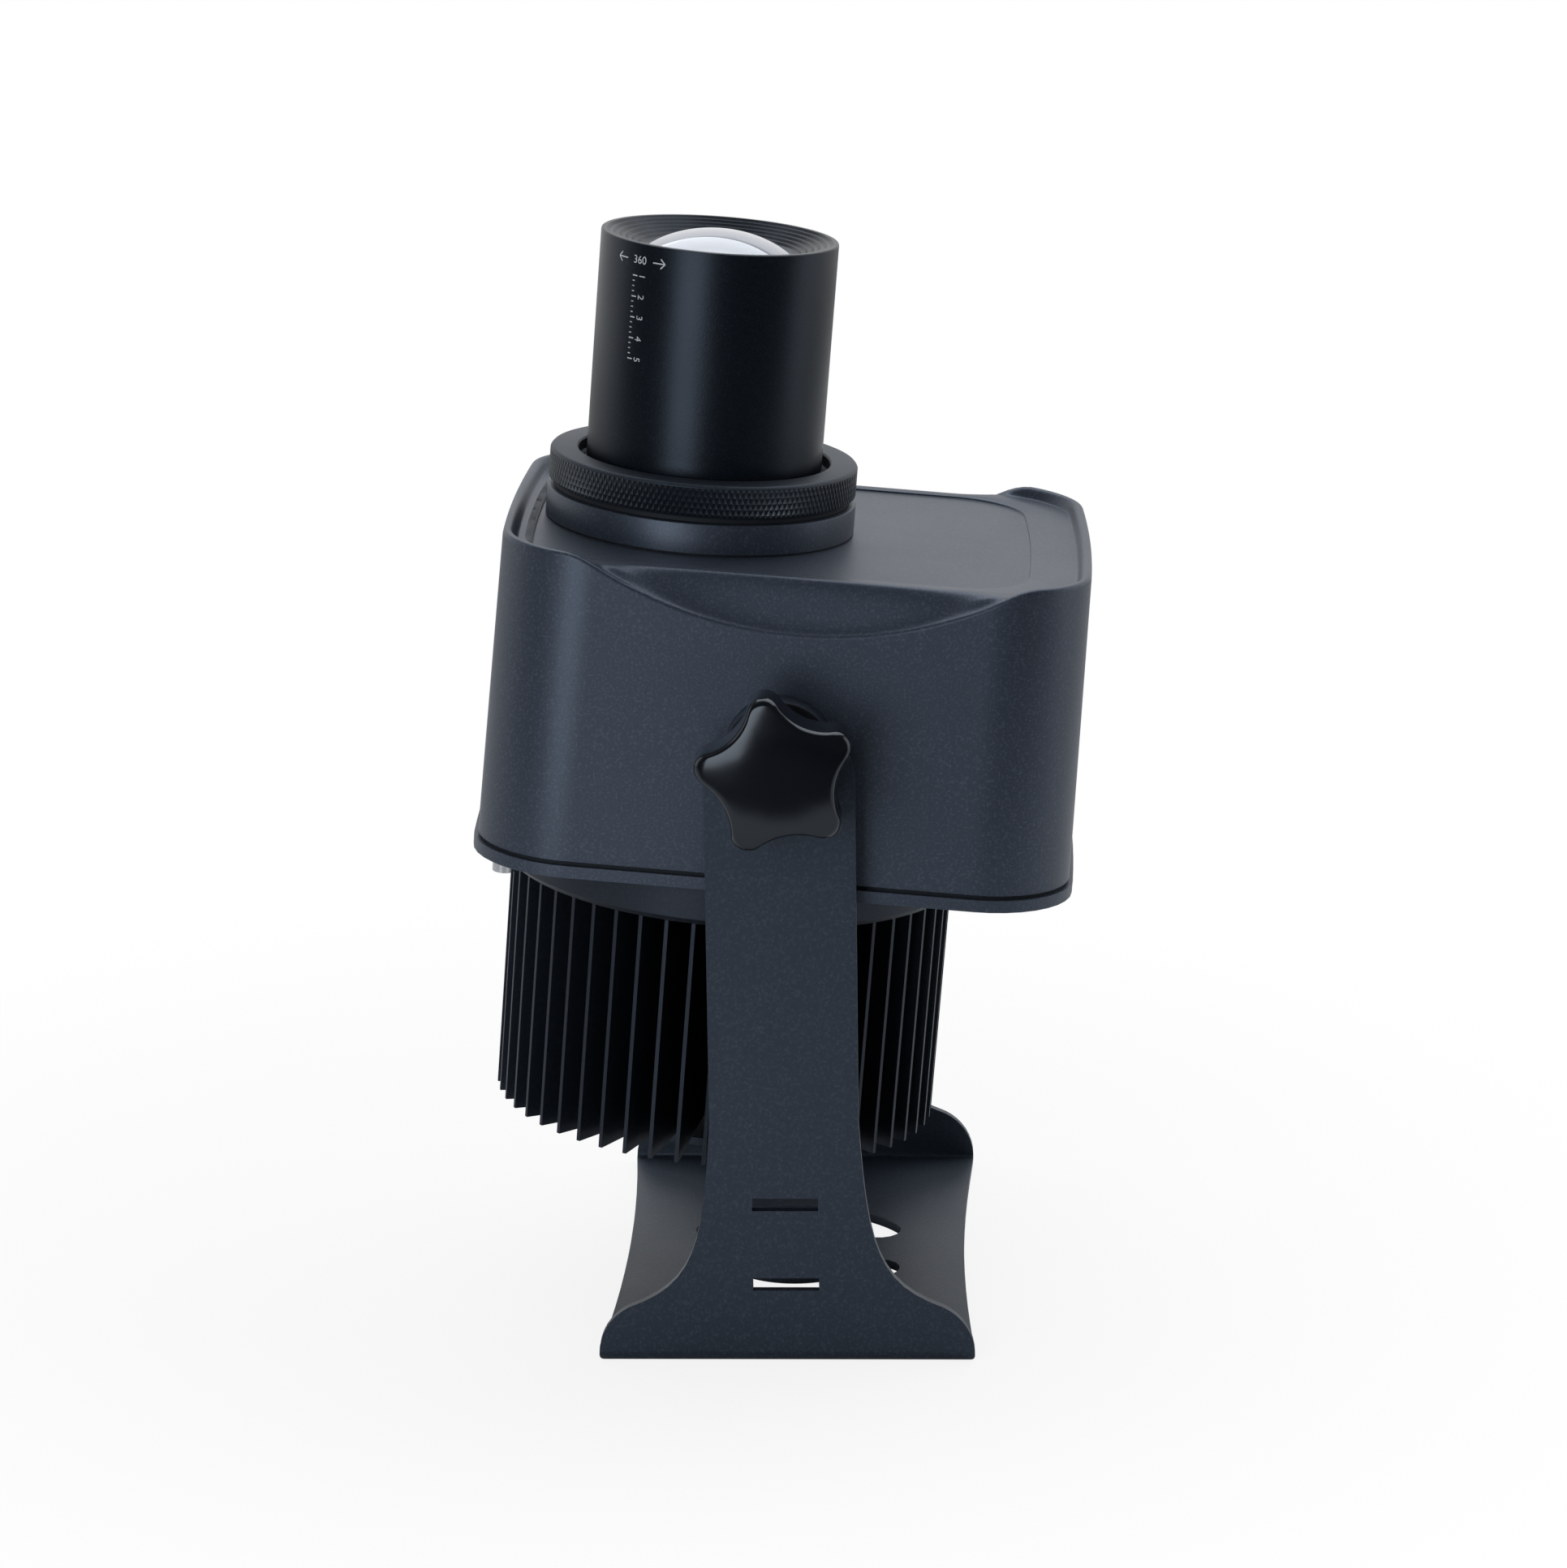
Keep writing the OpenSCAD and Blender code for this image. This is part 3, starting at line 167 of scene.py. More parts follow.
def coatedFinish(name, colour, fleck, roughness, grain=1500.0, depth=0.00012, strength=0.35, level=0.5):
    # powder coat: fine orange peel, tiny pale flecks, faint mottling and a slightly uneven sheen
    material, tree = newMaterial(name)
    fine = noise(tree, grain, 3.0)
    cloud = noise(tree, 22.0, 2.0)
    flecks = ramp(tree, noise(tree, grain * 0.8, 4.0), [(0.50, 0.0), (0.78, 1.0)])
    shader = addNode(tree, "ShaderNodeBsdfPrincipled", {}, {
        "Base Color": blendColour(tree, flecks, colour, fleck),
        "Roughness": roughness - 0.05 + 0.1 * cloud,
        "Normal": bump(tree, fine, depth, strength),
        "Specular Tint": (0.67, 0.79, 1.0, 1),
        "Specular IOR Level": level,
        "IOR": 1.5})
    closeMaterial(tree, shader)
    return material


def metalFinish(name, colour, roughness):
    # machined metal: a fine grain, turned with the head, and slow changes of shade
    material, tree = newMaterial(name)
    fine = noise(tree, 900.0, 3.0, -lean)
    cloud = noise(tree, 30.0, 2.0)
    shader = addNode(tree, "ShaderNodeBsdfPrincipled", {}, {
        "Base Color": blendColour(tree, cloud, colour, [c * 0.82 for c in colour]),
        "Metallic": 1.0,
        "Roughness": roughness - 0.04 + 0.08 * fine,
        "Normal": bump(tree, fine, 0.00006, 0.15)})
    closeMaterial(tree, shader)
    return material


def plasticFinish(name, colour, roughness, scale=500.0, strength=0.1):
    # moulded plastic or rubber: a faint grain and slow changes of shade
    material, tree = newMaterial(name)
    fine = noise(tree, scale, 2.0)
    cloud = noise(tree, 60.0, 2.0)
    shader = addNode(tree, "ShaderNodeBsdfPrincipled", {}, {
        "Base Color": blendColour(tree, cloud, colour, [c * 0.8 for c in colour]),
        "Roughness": roughness - 0.02 + 0.04 * cloud,
        "Specular Tint": (0.82, 0.9, 1.0, 1),
        "Normal": bump(tree, fine, 0.00004, strength)})
    closeMaterial(tree, shader)
    return material


def glassFinish(name, colour, paintedReflectionShare):
    # coated glass: clear glass mixed with a pale opaque layer whose colour is a painted reflection, and the share
    # of that layer varies a little over the surface
    material, tree = newMaterial(name)
    cloud = noise(tree, 90.0, 2.0)
    clear = addNode(tree, "ShaderNodeBsdfPrincipled", {}, {
        "Base Color": blendColour(tree, cloud, colour, [c * 0.96 for c in colour]),
        "Roughness": 0.01 + 0.02 * cloud,
        "Transmission Weight": 1.0,
        "IOR": 1.52})
    # painted reflection: a pale opaque layer that stands in for the bright room seen in the glass
    paintedReflectionLayer = addNode(tree, "ShaderNodeBsdfPrincipled", {}, {
        "Base Color": (*colour, 1),
        "Roughness": 0.03 + 0.02 * cloud,
        "Coat Weight": 1.0,
        "Coat IOR": 2.4,
        "Coat Roughness": 0.02})
    mixed = addNode(tree, "ShaderNodeMixShader", {}, {"Fac": paintedReflectionShare - 0.04 + 0.08 * cloud})
    tree.links.new(clear.outputs[0], mixed.inputs[1])
    tree.links.new(paintedReflectionLayer.outputs[0], mixed.inputs[2])
    closeMaterial(tree, mixed)
    return material


def knurledFinish(name, colour, roughness, pitch, radius):
    # a diamond knurl cut into black metal, centred on the lens axis; the grooves are painted darker, as painted
    # shade
    material, tree = newMaterial(name)
    coords = addNode(tree, "ShaderNodeTexCoord")
    centred = addNode(tree, "ShaderNodeVectorMath", {"operation": "SUBTRACT"}, {
        0: Value(tree, coords.outputs["Object"]), 1: lensPlace.translation})
    turned = addNode(tree, "ShaderNodeMapping", {}, {
        "Vector": Value(tree, centred.outputs[0]), "Rotation": (0, -lean, 0)})
    parts = addNode(tree, "ShaderNodeSeparateXYZ", {}, {"Vector": Value(tree, turned.outputs[0])})
    x, y, z = [Value(tree, parts.outputs[i]) for i in range(3)]
    azimuth = addNode(tree, "ShaderNodeMath", {"operation": "ARCTAN2"}, {0: y, 1: x})
    count = round(2 * math.pi * radius / pitch)
    along = Value(tree, azimuth.outputs[0]) * (count / 2 / math.pi)
    rise = z * (1000 / pitch / 2)  # the diamonds are twice as tall as they are wide

    def groove(position):
        node = addNode(tree, "ShaderNodeMath", {"operation": "PINGPONG"}, {0: position, 1: 0.5})
        return Value(tree, node.outputs[0]) * 2.0

    grooves = {0: groove(along + rise), 1: groove(along - rise)}
    height = Value(tree, addNode(tree, "ShaderNodeMath", {"operation": "MINIMUM"}, grooves).outputs[0])
    # painted shade: the base colour is darker down in the grooves than on the tops of the diamonds
    shade = ramp(tree, height, [(0.0, 0.35), (0.45, 1.0)])
    shader = addNode(tree, "ShaderNodeBsdfPrincipled", {}, {
        "Base Color": blendColour(tree, shade, [c * 0.3 for c in colour], colour),
        "Roughness": roughness + 0.15 - 0.15 * shade,
        "Specular Tint": (0.75, 0.86, 1.0, 1),
        "Normal": bump(tree, height, 0.0009, 1.0)})
    closeMaterial(tree, shader)
    return material


finish = {
    "yoke": coatedFinish("yokeCoat", (0.011, 0.016, 0.024), (0.038, 0.047, 0.063), 0.43, level=0.6),
    "casting": coatedFinish("castingCoat", (0.022, 0.028, 0.041), (0.064, 0.075, 0.097), 0.42, level=0.75),
    "fins": coatedFinish("finCoat", (0.006, 0.008, 0.012), (0.013, 0.016, 0.022), 0.42, 1200.0, level=0.45),
    "anodised": coatedFinish("anodisedBlack", (0.004, 0.006, 0.009), (0.014, 0.018, 0.024), 0.32, 2200.0, 0.0001,
                             0.3, 0.3),
    "ring": coatedFinish("ringBlack", (0.010, 0.014, 0.020), (0.030, 0.037, 0.048), 0.5, 2200.0, 0.0001, 0.3),
    "knurl": knurledFinish("knurledBlack", (0.012, 0.016, 0.024), 0.32, 1.86, 49.7),
    "rubber": plasticFinish("blackRubber", (0.004, 0.005, 0.007), 0.7),
    "steel": metalFinish("plainSteel", (0.62, 0.63, 0.65), 0.26),
    "brass": metalFinish("turnedBrass", (0.72, 0.52, 0.22), 0.3),
    "alloy": metalFinish("machinedAlloy", (0.56, 0.57, 0.59), 0.34),
    "nylon": plasticFinish("blackNylon", (0.016, 0.017, 0.02), 0.45),
    "knob": plasticFinish("glossyKnob", (0.0045, 0.0055, 0.0085), 0.14, 200.0, 0.05),
    "board": plasticFinish("whiteBoard", (0.75, 0.75, 0.72), 0.5),
    "emitter": plasticFinish("phosphor", (0.85, 0.7, 0.12), 0.25),
    "terminal": plasticFinish("paleMoulding", (0.66, 0.66, 0.63), 0.5),
    "glass": glassFinish("clearGlass", (0.9, 0.93, 0.97), 0.12),
    # the front lens is mostly the pale layer, so its paleness is a painted reflection
    "frontGlassPaintedReflection": glassFinish("frontGlassPaintedReflection", (0.46, 0.49, 0.58), 0.82),
    "print": plasticFinish("whitePrint", (0.62, 0.65, 0.68), 0.6),
}
print("finishes made")


# helpers for pieces

def linkPiece(name, mesh, material, body, stands):
    mesh.materials.clear()
    mesh.materials.append(finish[material])
    piece = bpy.data.objects.new(name, mesh)
    bpy.context.scene.collection.objects.link(piece)
    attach(piece, body)
    if stands:
        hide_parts(*stands)
    return piece


def closePiece(bm, name, material, body, stands, place, smooth=35, merge=0.000002):
    bmesh.ops.transform(bm, matrix=place, verts=bm.verts)
    bmesh.ops.remove_doubles(bm, verts=bm.verts, dist=merge)
    bmesh.ops.recalc_face_normals(bm, faces=bm.faces)
    mesh = bpy.data.meshes.new(name)
    bm.to_mesh(mesh)
    bm.free()
    mesh.shade_smooth()
    mesh.set_sharp_from_angle(angle=math.radians(smooth))
    return linkPiece(name, mesh, material, body, stands)


def softenEdges(piece, width, segments):
    bevel = piece.modifiers.new("softEdges", "BEVEL")
    bevel.width = width * mm
    bevel.segments = segments
    bevel.limit_method = "ANGLE"
    bevel.angle_limit = math.radians(32)
    bevel.harden_normals = True
    bevel.use_clamp_overlap = True


def copyNode(node, material, edge, segments=2, smooth=32):
    # a merged copy of a CAD node with softened edges, which stands for it
    source = frame["nodes"][node]
    bm = bmesh.new()
    bm.from_mesh(source.data)
    bmesh.ops.remove_doubles(bm, verts=bm.verts, dist=0.000005)
    bmesh.ops.dissolve_limit(bm, angle_limit=math.radians(0.4), verts=bm.verts, edges=bm.edges)
    mesh = bpy.data.meshes.new(node + "Shape")
    bm.to_mesh(mesh)
    bm.free()
    mesh.shade_smooth()
    mesh.set_sharp_from_angle(angle=math.radians(smooth))
    body = [name for name, nodes in frame["record"]["behaviour"]["bodies"].items() if node in nodes][0]
    piece = linkPiece(node + "Shape", mesh, material, body, (node,))
    if edge:
        softenEdges(piece, edge, segments)
    return piece


def spinProfile(points, steps, closed=True):
    # turns a profile of radii and heights, in millimetres, round the Z axis
    bm = bmesh.new()
    verts = [bm.verts.new((r * mm, 0, z * mm)) for r, z in points]
    pairs = list(zip(verts, verts[1:] + verts[:1])) if closed else list(zip(verts, verts[1:]))
    edges = [bm.edges.new(pair) for pair in pairs]
    bmesh.ops.spin(bm, geom=verts + edges, cent=(0, 0, 0), axis=(0, 0, 1), angle=2 * math.pi,
                   steps=steps, use_merge=True)
    return bm


def arc(radius, start, end, steps, centre):
    angles = [math.radians(start + (end - start) * i / steps) for i in range(steps + 1)]
    return [(centre[0] + radius * math.cos(a), centre[1] + radius * math.sin(a)) for a in angles]


def joinRings(bm, rings, closed=False):
    # the rings stand apart while they are bridged, so that two rings at one level don't cross
    verts = [[bm.verts.new((x, y, level * 0.05)) for x, y, z in ring] for level, ring in enumerate(rings)]
    loops = [[bm.edges.new(pair) for pair in zip(row, row[1:] + row[:1])] for row in verts]
    for lower, upper in zip(loops, loops[1:] + loops[:1] if closed else loops[1:]):
        bmesh.ops.bridge_loops(bm, edges=lower + upper)
    for row, ring in zip(verts, rings):
        for vert, point in zip(row, ring):
            vert.co = point
    return loops


# housing

shell = {
    "rear": -42.2, "floor": 52.6, "x": 0.05, "halfX": 92.95, "halfY": 82.05, "corner": 29.0, "bow": 2.6,
    "draft": 1.14, "rim": 3.6, "wall": 3.0, "hole": 43.4, "rearEdge": 0.4,
    "sideSteps": 64, "endSteps": 14, "cornerSteps": 16,
    "scoopDrop": 15.9, "scoopHalf": 74.0, "scoopX": 2.5, "scoopReach": 1.08, "scoopPower": 2.1, "scoopSoft": 0.16,
    "scoopBlend": 7, "lipRound": 1.8, "lipSlant": 51, "lipInset": 0.67, "crest": 8.5, "crestFlat": 0.7,
    "panelSink": 0.7, "panelIn": (12.8, 13.2), "panelCorner": 22, "panelShift": -6.3,
    "upperRoom": (84.4, 8, 22), "lowerRoom": (88.4, 77.5, 26), "roomStep": 33.0,
    "bossY": 88.7, "bossR": 17.0, "bossLength": 8.5, "bossHole": 6.55}


def shellOutline(halfX, halfY, corner):
    # a rounded rectangle whose two ends bow out
    steps = (shell["sideSteps"], shell["endSteps"])
    points = []
    for quarter, (sx, sy) in enumerate([(1, 1), (-1, 1), (-1, -1), (1, -1)]):
        cx, cy = sx * (halfX - corner), sy * (halfY - corner)
        points += arc(corner, 90 * quarter, 90 * quarter + 90, shell["cornerSteps"], (cx, cy))
        start, count = points[-1], steps[quarter % 2]
        goal = [(-start[0], start[1]), (start[0], -start[1])][quarter % 2]
        points += [tuple(a + (b - a) * i / count for a, b in zip(start, goal)) for i in range(1, count)]
    return [(x + math.copysign(shell["bow"], x) * (1 - (y / halfY) ** 2), y) for x, y in points]


def scoopShare(x):
    # how far the edge has risen from the lip to the rim, with a soft shoulder
    rise = shell["scoopReach"] * (abs(x - shell["scoopX"]) / shell["scoopHalf"]) ** shell["scoopPower"]
    soft = shell["scoopSoft"]
    near = max(soft - abs(rise - 1), 0) / soft
    return min(rise, 1) - near * near * soft / 4


def growAt(z):
    # the draft draws the walls in towards the rim
    return -(z - shell["rear"]) * math.tan(math.radians(shell["draft"]))


ringCache = {}


def skinRing(rimStep, scoopStep):
    # a step is (inset from the side, drop below the edge, share of the way to the floor)
    base = shellOutline(shell["halfX"], shell["halfY"], shell["corner"])
    low = shell["floor"] - shell["scoopDrop"]
    high = shell["floor"] + shell["rim"]
    points = []
    for index, (x, y) in enumerate(base):
        edge = low + (high - low) * scoopShare(x)
        depth = min(max((shell["floor"] - edge) / shell["scoopBlend"], 0), 1)
        depth = depth * depth * (3 - 2 * depth)
        inset, drop, share = [a + (b - a) * depth for a, b in zip(rimStep, scoopStep)]
        z = edge - drop + (shell["floor"] - edge + drop) * share
        grow = growAt(z)
        key = (round(inset, 3), round(grow, 3))
        if key not in ringCache:
            ringCache[key] = shellOutline(
                shell["halfX"] + grow - inset, shell["halfY"] + grow - inset, shell["corner"] - inset)
        px, py = ringCache[key][index]
        points.append(((px + shell["x"]) * mm, py * mm, z * mm))
    return points


def flatRing(halfX, halfY, corner, z, x=shell["x"]):
    return [((px + x) * mm, py * mm, z * mm) for px, py in shellOutline(halfX, halfY, corner)]


def circleRing(radius, z, count=160):
    return [((head["lensX"] + radius * math.cos(2 * math.pi * i / count)) * mm,
             radius * math.sin(2 * math.pi * i / count) * mm, z * mm) for i in range(count)]


def addSkin(rings):
    # up the outside, over the rim or the lip, and down to the floor of the head
    s = shell
    edge = s["rearEdge"]
    rings.append(flatRing(s["halfX"] - edge, s["halfY"] - edge, s["corner"] - edge, s["rear"]))
    rings.append(flatRing(s["halfX"], s["halfY"], s["corner"], s["rear"] + edge))
    rimEdge = [(0, 1.6), (0.06, 1.05), (0.25, 0.58), (0.6, 0.2), (1.05, 0.02), (1.8, 0.0), (2.3, 0.12)]
    lipTurn = [math.radians(s["lipSlant"] * i / 6) for i in range(7)]  # the scoop leaves its lip at a slant
    lipEdge = [(s["lipRound"] * (1 - math.cos(a)), s["lipRound"] * (math.sin(lipTurn[-1]) - math.sin(a)))
               for a in lipTurn]
    rings += [skinRing((*a, 0), (*b, 0)) for a, b in zip(rimEdge, lipEdge)]
    for t in (0.04, 0.1, 0.17, 0.24, 0.31, 0.38, 0.45, 0.52, 0.59, 0.66, 0.73, 0.8, 0.86, 0.92, 0.97, 1.0):
        fall = min(t / 0.5, 1)  # the rim is down on the floor halfway
        rimStep = (2.4 + 2.4 * fall + 1.6 * max(t - 0.5, 0), 0.3 * (1 - t), fall * fall * (3 - 2 * fall))
        climb = 0.4 * t + 2.2 * t * t - 1.6 * t ** 3  # steepest in the middle, level at the crest
        rings.append(skinRing(rimStep, (s["lipInset"] + (s["crest"] - s["lipInset"]) * t, 0, climb)))
    rings.append(skinRing((s["crest"] + s["crestFlat"], 0, 1), (s["crest"] + s["crestFlat"], 0, 1)))


def addPanelAndRoom(rings):
    # the sunk panel, the hole for the lens and the room inside
    s = shell
    floor, grow = s["floor"], growAt(s["floor"])
    panel = (s["halfX"] + grow - s["panelIn"][0], s["halfY"] + grow - s["panelIn"][1], s["panelCorner"])
    for lift, inset in [(0, 0), (-0.12, 0.15), (-0.58, 0.3), (-0.7, 0.5), (-0.7, 1.4)]:
        rings.append(flatRing(*[size - inset for size in panel], floor + lift, s["x"] + s["panelShift"]))
    top = floor - s["panelSink"]
    ceiling = floor - s["wall"] - s["panelSink"]
    rings += [circleRing(s["hole"] + 1.0, top), circleRing(s["hole"], top), circleRing(s["hole"], ceiling)]
    upper = (s["upperRoom"][0], s["halfY"] + grow - s["upperRoom"][1], s["upperRoom"][2])
    rings += [flatRing(*upper, ceiling), flatRing(*upper, s["roomStep"])]
    rings += [flatRing(*s["lowerRoom"], s["roomStep"]), flatRing(*s["lowerRoom"], s["rear"])]


def addPivotBoss(bm, side):
    s = shell
    r, length = s["bossR"], s["bossLength"]
    boss = spinProfile([(s["bossHole"], 0), (r + 0.8, 0), (r, 1.2), (r, length - 0.4), (r - 0.4, length),
                        (s["bossHole"], length)], 96)
    turn = Matrix.Rotation(-side * math.pi / 2, 4, "X")
    place = Matrix.Translation((0, side * (s["bossY"] - length) * mm, 0)) @ turn
    bmesh.ops.transform(boss, matrix=place, verts=boss.verts)
    spare = bpy.data.meshes.new("boss")
    boss.to_mesh(spare)
    boss.free()
    bm.from_mesh(spare)
    bpy.data.meshes.remove(spare)


def makeHousing():
    bm = bmesh.new()
    rings = []
    addSkin(rings)
    addPanelAndRoom(rings)
    joinRings(bm, rings, closed=True)
    bmesh.ops.triangulate(bm, faces=[f for f in bm.faces if len(f.verts) > 4])
    for side in (-1, 1):
        addPivotBoss(bm, side)
    closePiece(bm, "housingShell", "casting", "head", ("front_housing",), headPlace, 40)


makeHousing()
copyNode("rear_cover", "casting", 2.6, 5)
copyNode("housing_gasket", "rubber", 0)
copyNode("rear_cover_screws", "steel", 0.3)
print("housing made")


# yoke

copyNode("yoke_bracket", "yoke", 0.35, smooth=25)
copyNode("friction_washers", "rubber", 0.15)
print("yoke made")


# heatsink, end plate and gland

copyNode("heatsink", "fins", 0.3, smooth=28)
copyNode("end_plate", "fins", 0.4)
copyNode("end_plate_standoffs", "steel", 0.2)
copyNode("end_plate_screws", "steel", 0.2)
for part in ("gland_body", "gland_locknut", "gland_cap"):
    copyNode(part, "nylon", 0.4)
copyNode("gland_seal", "rubber", 0.2)
print("heatsink made")


# collar and lock ring

ring = {
    "steps": 192, "bore": 39.85, "floor": 52.5, "collarTop": 62.0, "collarR": 50.0, "sleeveR": 43.0,
    "sleeveBottom": 19.8, "lockBottom": 63.9, "lockTop": 74.4, "lockR": 49.7, "lockMouth": 40.7,
    "mouthDepth": 3.8, "taperDepth": 4.7}


def makeCollar():
    r = ring
    wide, top = r["collarR"], r["collarTop"]
    profile = [(r["bore"], r["sleeveBottom"]), (r["sleeveR"], r["sleeveBottom"]), (r["sleeveR"], r["floor"]),
               (wide, r["floor"]), (wide, top - 0.5), (wide - 0.15, top - 0.15), (wide - 0.5, top),
               (r["bore"], top)]
    closePiece(spinProfile(profile, r["steps"]), "collarShape", "casting", "head",
               ("lens_collar",), lensPlace)


def makeLockRing():
    r = ring
    wide, mouth, bottom, top = r["lockR"], r["lockMouth"], r["lockBottom"], r["lockTop"]
    profile = [(r["bore"], bottom), (wide - 0.8, bottom), (wide - 0.1, bottom + 0.6), (wide, bottom + 1.0),
               (wide, top - 1.1), (wide - 0.2, top - 0.7), (wide - 0.7, top - 0.15), (wide - 1.1, top),
               (mouth + 0.5, top), (mouth, top - 0.5), (mouth, top - r["mouthDepth"]),
               (r["bore"], top - r["taperDepth"])]
    piece = closePiece(spinProfile(profile, r["steps"]), "lockRingShape", "ring", "lock_ring",
                       ("lock_ring",), lensPlace, 30)
    piece.data.materials.append(finish["knurl"])
    back = lensPlace.inverted()
    for face in piece.data.polygons:  # the knurl covers the upright part of the rim
        local = back @ face.center
        onRim = math.hypot(local.x, local.y) > (wide - 0.12) * mm
        if onRim and (bottom + 0.5) * mm < local.z < (top - 1.0) * mm:
            face.material_index = 1


makeCollar()
makeLockRing()
copyNode("lock_ring_seal", "rubber", 0.2)
copyNode("collar_gasket", "rubber", 0)
print("collar and lock ring made")


# barrel and lenses

barrel = {
    "steps": 192, "bottom": 31.8, "top": 145.55, "r": 38.0, "spigot": 34.0, "spigotLength": 10,
    "bore": 31.0, "boreFoot": 14, "boreTop": 111.2,
    "thread": 39.8, "threadTop": 70.2, "threadDepth": 0.55, "threadPitch": 1.6,
    "mouthSteps": 6, "mouthRim": 1.9, "seatFoot": 117.2, "lensR": 25.0, "lensTop": 147.15, "lensEdge": 3.5,
    "curve": 46.0}


def seatHeight():
    sag = barrel["curve"] - math.sqrt(barrel["curve"] ** 2 - barrel["lensR"] ** 2)
    return barrel["lensTop"] - sag


def threadProfile():
    # the fine thread shows where the barrel leaves the lock ring
    crest, root = barrel["thread"], barrel["thread"] - barrel["threadDepth"]
    points = [(crest - 1, barrel["bottom"]), (crest, barrel["bottom"] + 1)]
    z = barrel["bottom"] + 2.0
    while z < barrel["threadTop"] - 3:
        points += [(crest, z), (root, z + 0.5), (root, z + 0.7), (crest, z + 1.2)]
        z += barrel["threadPitch"]
    return points + [(crest, barrel["threadTop"] - 0.8), (crest - 0.8, barrel["threadTop"])]


def mouthProfile(seat):
    # the mouth steps down to the lens
    b = barrel
    width = (b["r"] - b["mouthRim"] - b["lensR"] + 1) / b["mouthSteps"]
    height = (b["top"] - seat - 1) / b["mouthSteps"]
    points = []
    for n in range(b["mouthSteps"]):
        r, z = b["r"] - b["mouthRim"] - n * width, b["top"] - n * height
        points += [(r + 0.15, z), (r, z - 0.15), (r - 0.22 * width, z - height + 0.12),
                   (r - 0.3 * width, z - height)]
    return points


def makeBarrel():
    b = barrel
    seat = seatHeight()
    hold = b["lensR"] + 0.1  # the lens sits loosely in its seat
    foot = b["spigot"] + 0.05
    profile = [(foot, b["bottom"])] + threadProfile()
    profile += [(b["r"] + 0.2, b["threadTop"]), (b["r"], b["threadTop"] + 0.3), (b["r"], b["top"] - 0.55),
                (b["r"] - 0.12, b["top"] - 0.22), (b["r"] - 0.45, b["top"])]
    profile += mouthProfile(seat)
    profile += [(b["lensR"] - 1, seat + 0.4), (hold, seat), (hold, b["seatFoot"]), (b["bore"], b["boreTop"]),
                (b["bore"], b["bottom"] + b["boreFoot"]), (foot, b["bottom"] + b["spigotLength"])]
    closePiece(spinProfile(profile, b["steps"]), "barrelShape", "anodised", "barrel",
               ("lens_barrel",), lensPlace, 24)


def makeFrontLens():
    b = barrel
    edge = seatHeight() - b["lensEdge"]
    profile = [(0, b["lensTop"])]
    for i in range(1, 25):
        r = b["lensR"] * i / 24
        profile.append((r, b["lensTop"] - b["curve"] + math.sqrt(b["curve"] ** 2 - r ** 2)))
    profile += [(b["lensR"], edge), (0, edge)]
    closePiece(spinProfile(profile, 128, closed=False), "frontLensShape", "frontGlassPaintedReflection", "barrel",
               ("front_lens",), lensPlace, 30, 0.00001)


makeBarrel()
makeFrontLens()
print("barrel and front lens made")


# scale on the barrel: two arrows, then numbered marks below them

label = {
    "azimuth": -128.0, "r": 38.03, "longest": 0.8, "stroke": 0.4, "arrowZ": 140.2, "shaftX": 7.3, "shaft": 4.2,
    "tipX": 8.8, "tipRise": 0.75, "tip": 2.2, "turnSize": 3.6, "scaleTop": 137.4, "firstDrop": 2.2, "marks": 5,
    "gap": 6.6, "markX": -1.6, "mark": 1.9, "numberX": 1.2, "numberSize": 3.4, "smallX": -2.1, "small": 0.9,
    "smallStroke": 0.3}


def wrapOnBarrel(bm, name):
    # drawn flat, cut into short pieces and then bent round the barrel
    coarse = [edge for edge in bm.edges if edge.calc_length() > label["longest"] * mm]
    bmesh.ops.subdivide_edges(bm, edges=coarse, cuts=2, use_grid_fill=True)
    radius = label["r"] * mm
    for vert in bm.verts:
        angle = math.radians(label["azimuth"]) + vert.co.x / radius
        vert.co = (radius * math.cos(angle), radius * math.sin(angle), vert.co.z)
    closePiece(bm, name, "print", "barrel", (), lensPlace, 40)


def addBar(bm, x, z, width, height, turn=0.0):
    made = bmesh.ops.create_grid(bm, x_segments=3, y_segments=3, size=0.5)
    place = Matrix.Translation((x * mm, 0, z * mm)) @ Matrix.Rotation(math.radians(turn), 4, "Y")
    place = place @ Matrix.Diagonal((width * mm, 1, height * mm, 1)) @ Matrix.Rotation(math.pi / 2, 4, "X")
    bmesh.ops.transform(bm, matrix=place, verts=made["verts"])


def addNumber(bm, text, x, z, size, turn):
    curve = bpy.data.curves.new("number", "FONT")
    curve.body = text
    curve.size = size * mm
    curve.align_x = "CENTER"
    curve.align_y = "CENTER"
    spare = bpy.data.objects.new("number", curve)
    bpy.context.scene.collection.objects.link(spare)
    mesh = bpy.data.meshes.new_from_object(spare.evaluated_get(bpy.context.evaluated_depsgraph_get()))
    bpy.data.objects.remove(spare)
    bpy.data.curves.remove(curve)
    mesh.transform(Matrix.Translation((x * mm, 0, z * mm)) @ Matrix.Rotation(math.radians(turn), 4, "Y")
                   @ Matrix.Rotation(math.pi / 2, 4, "X"))
    bm.from_mesh(mesh)
    bpy.data.meshes.remove(mesh)


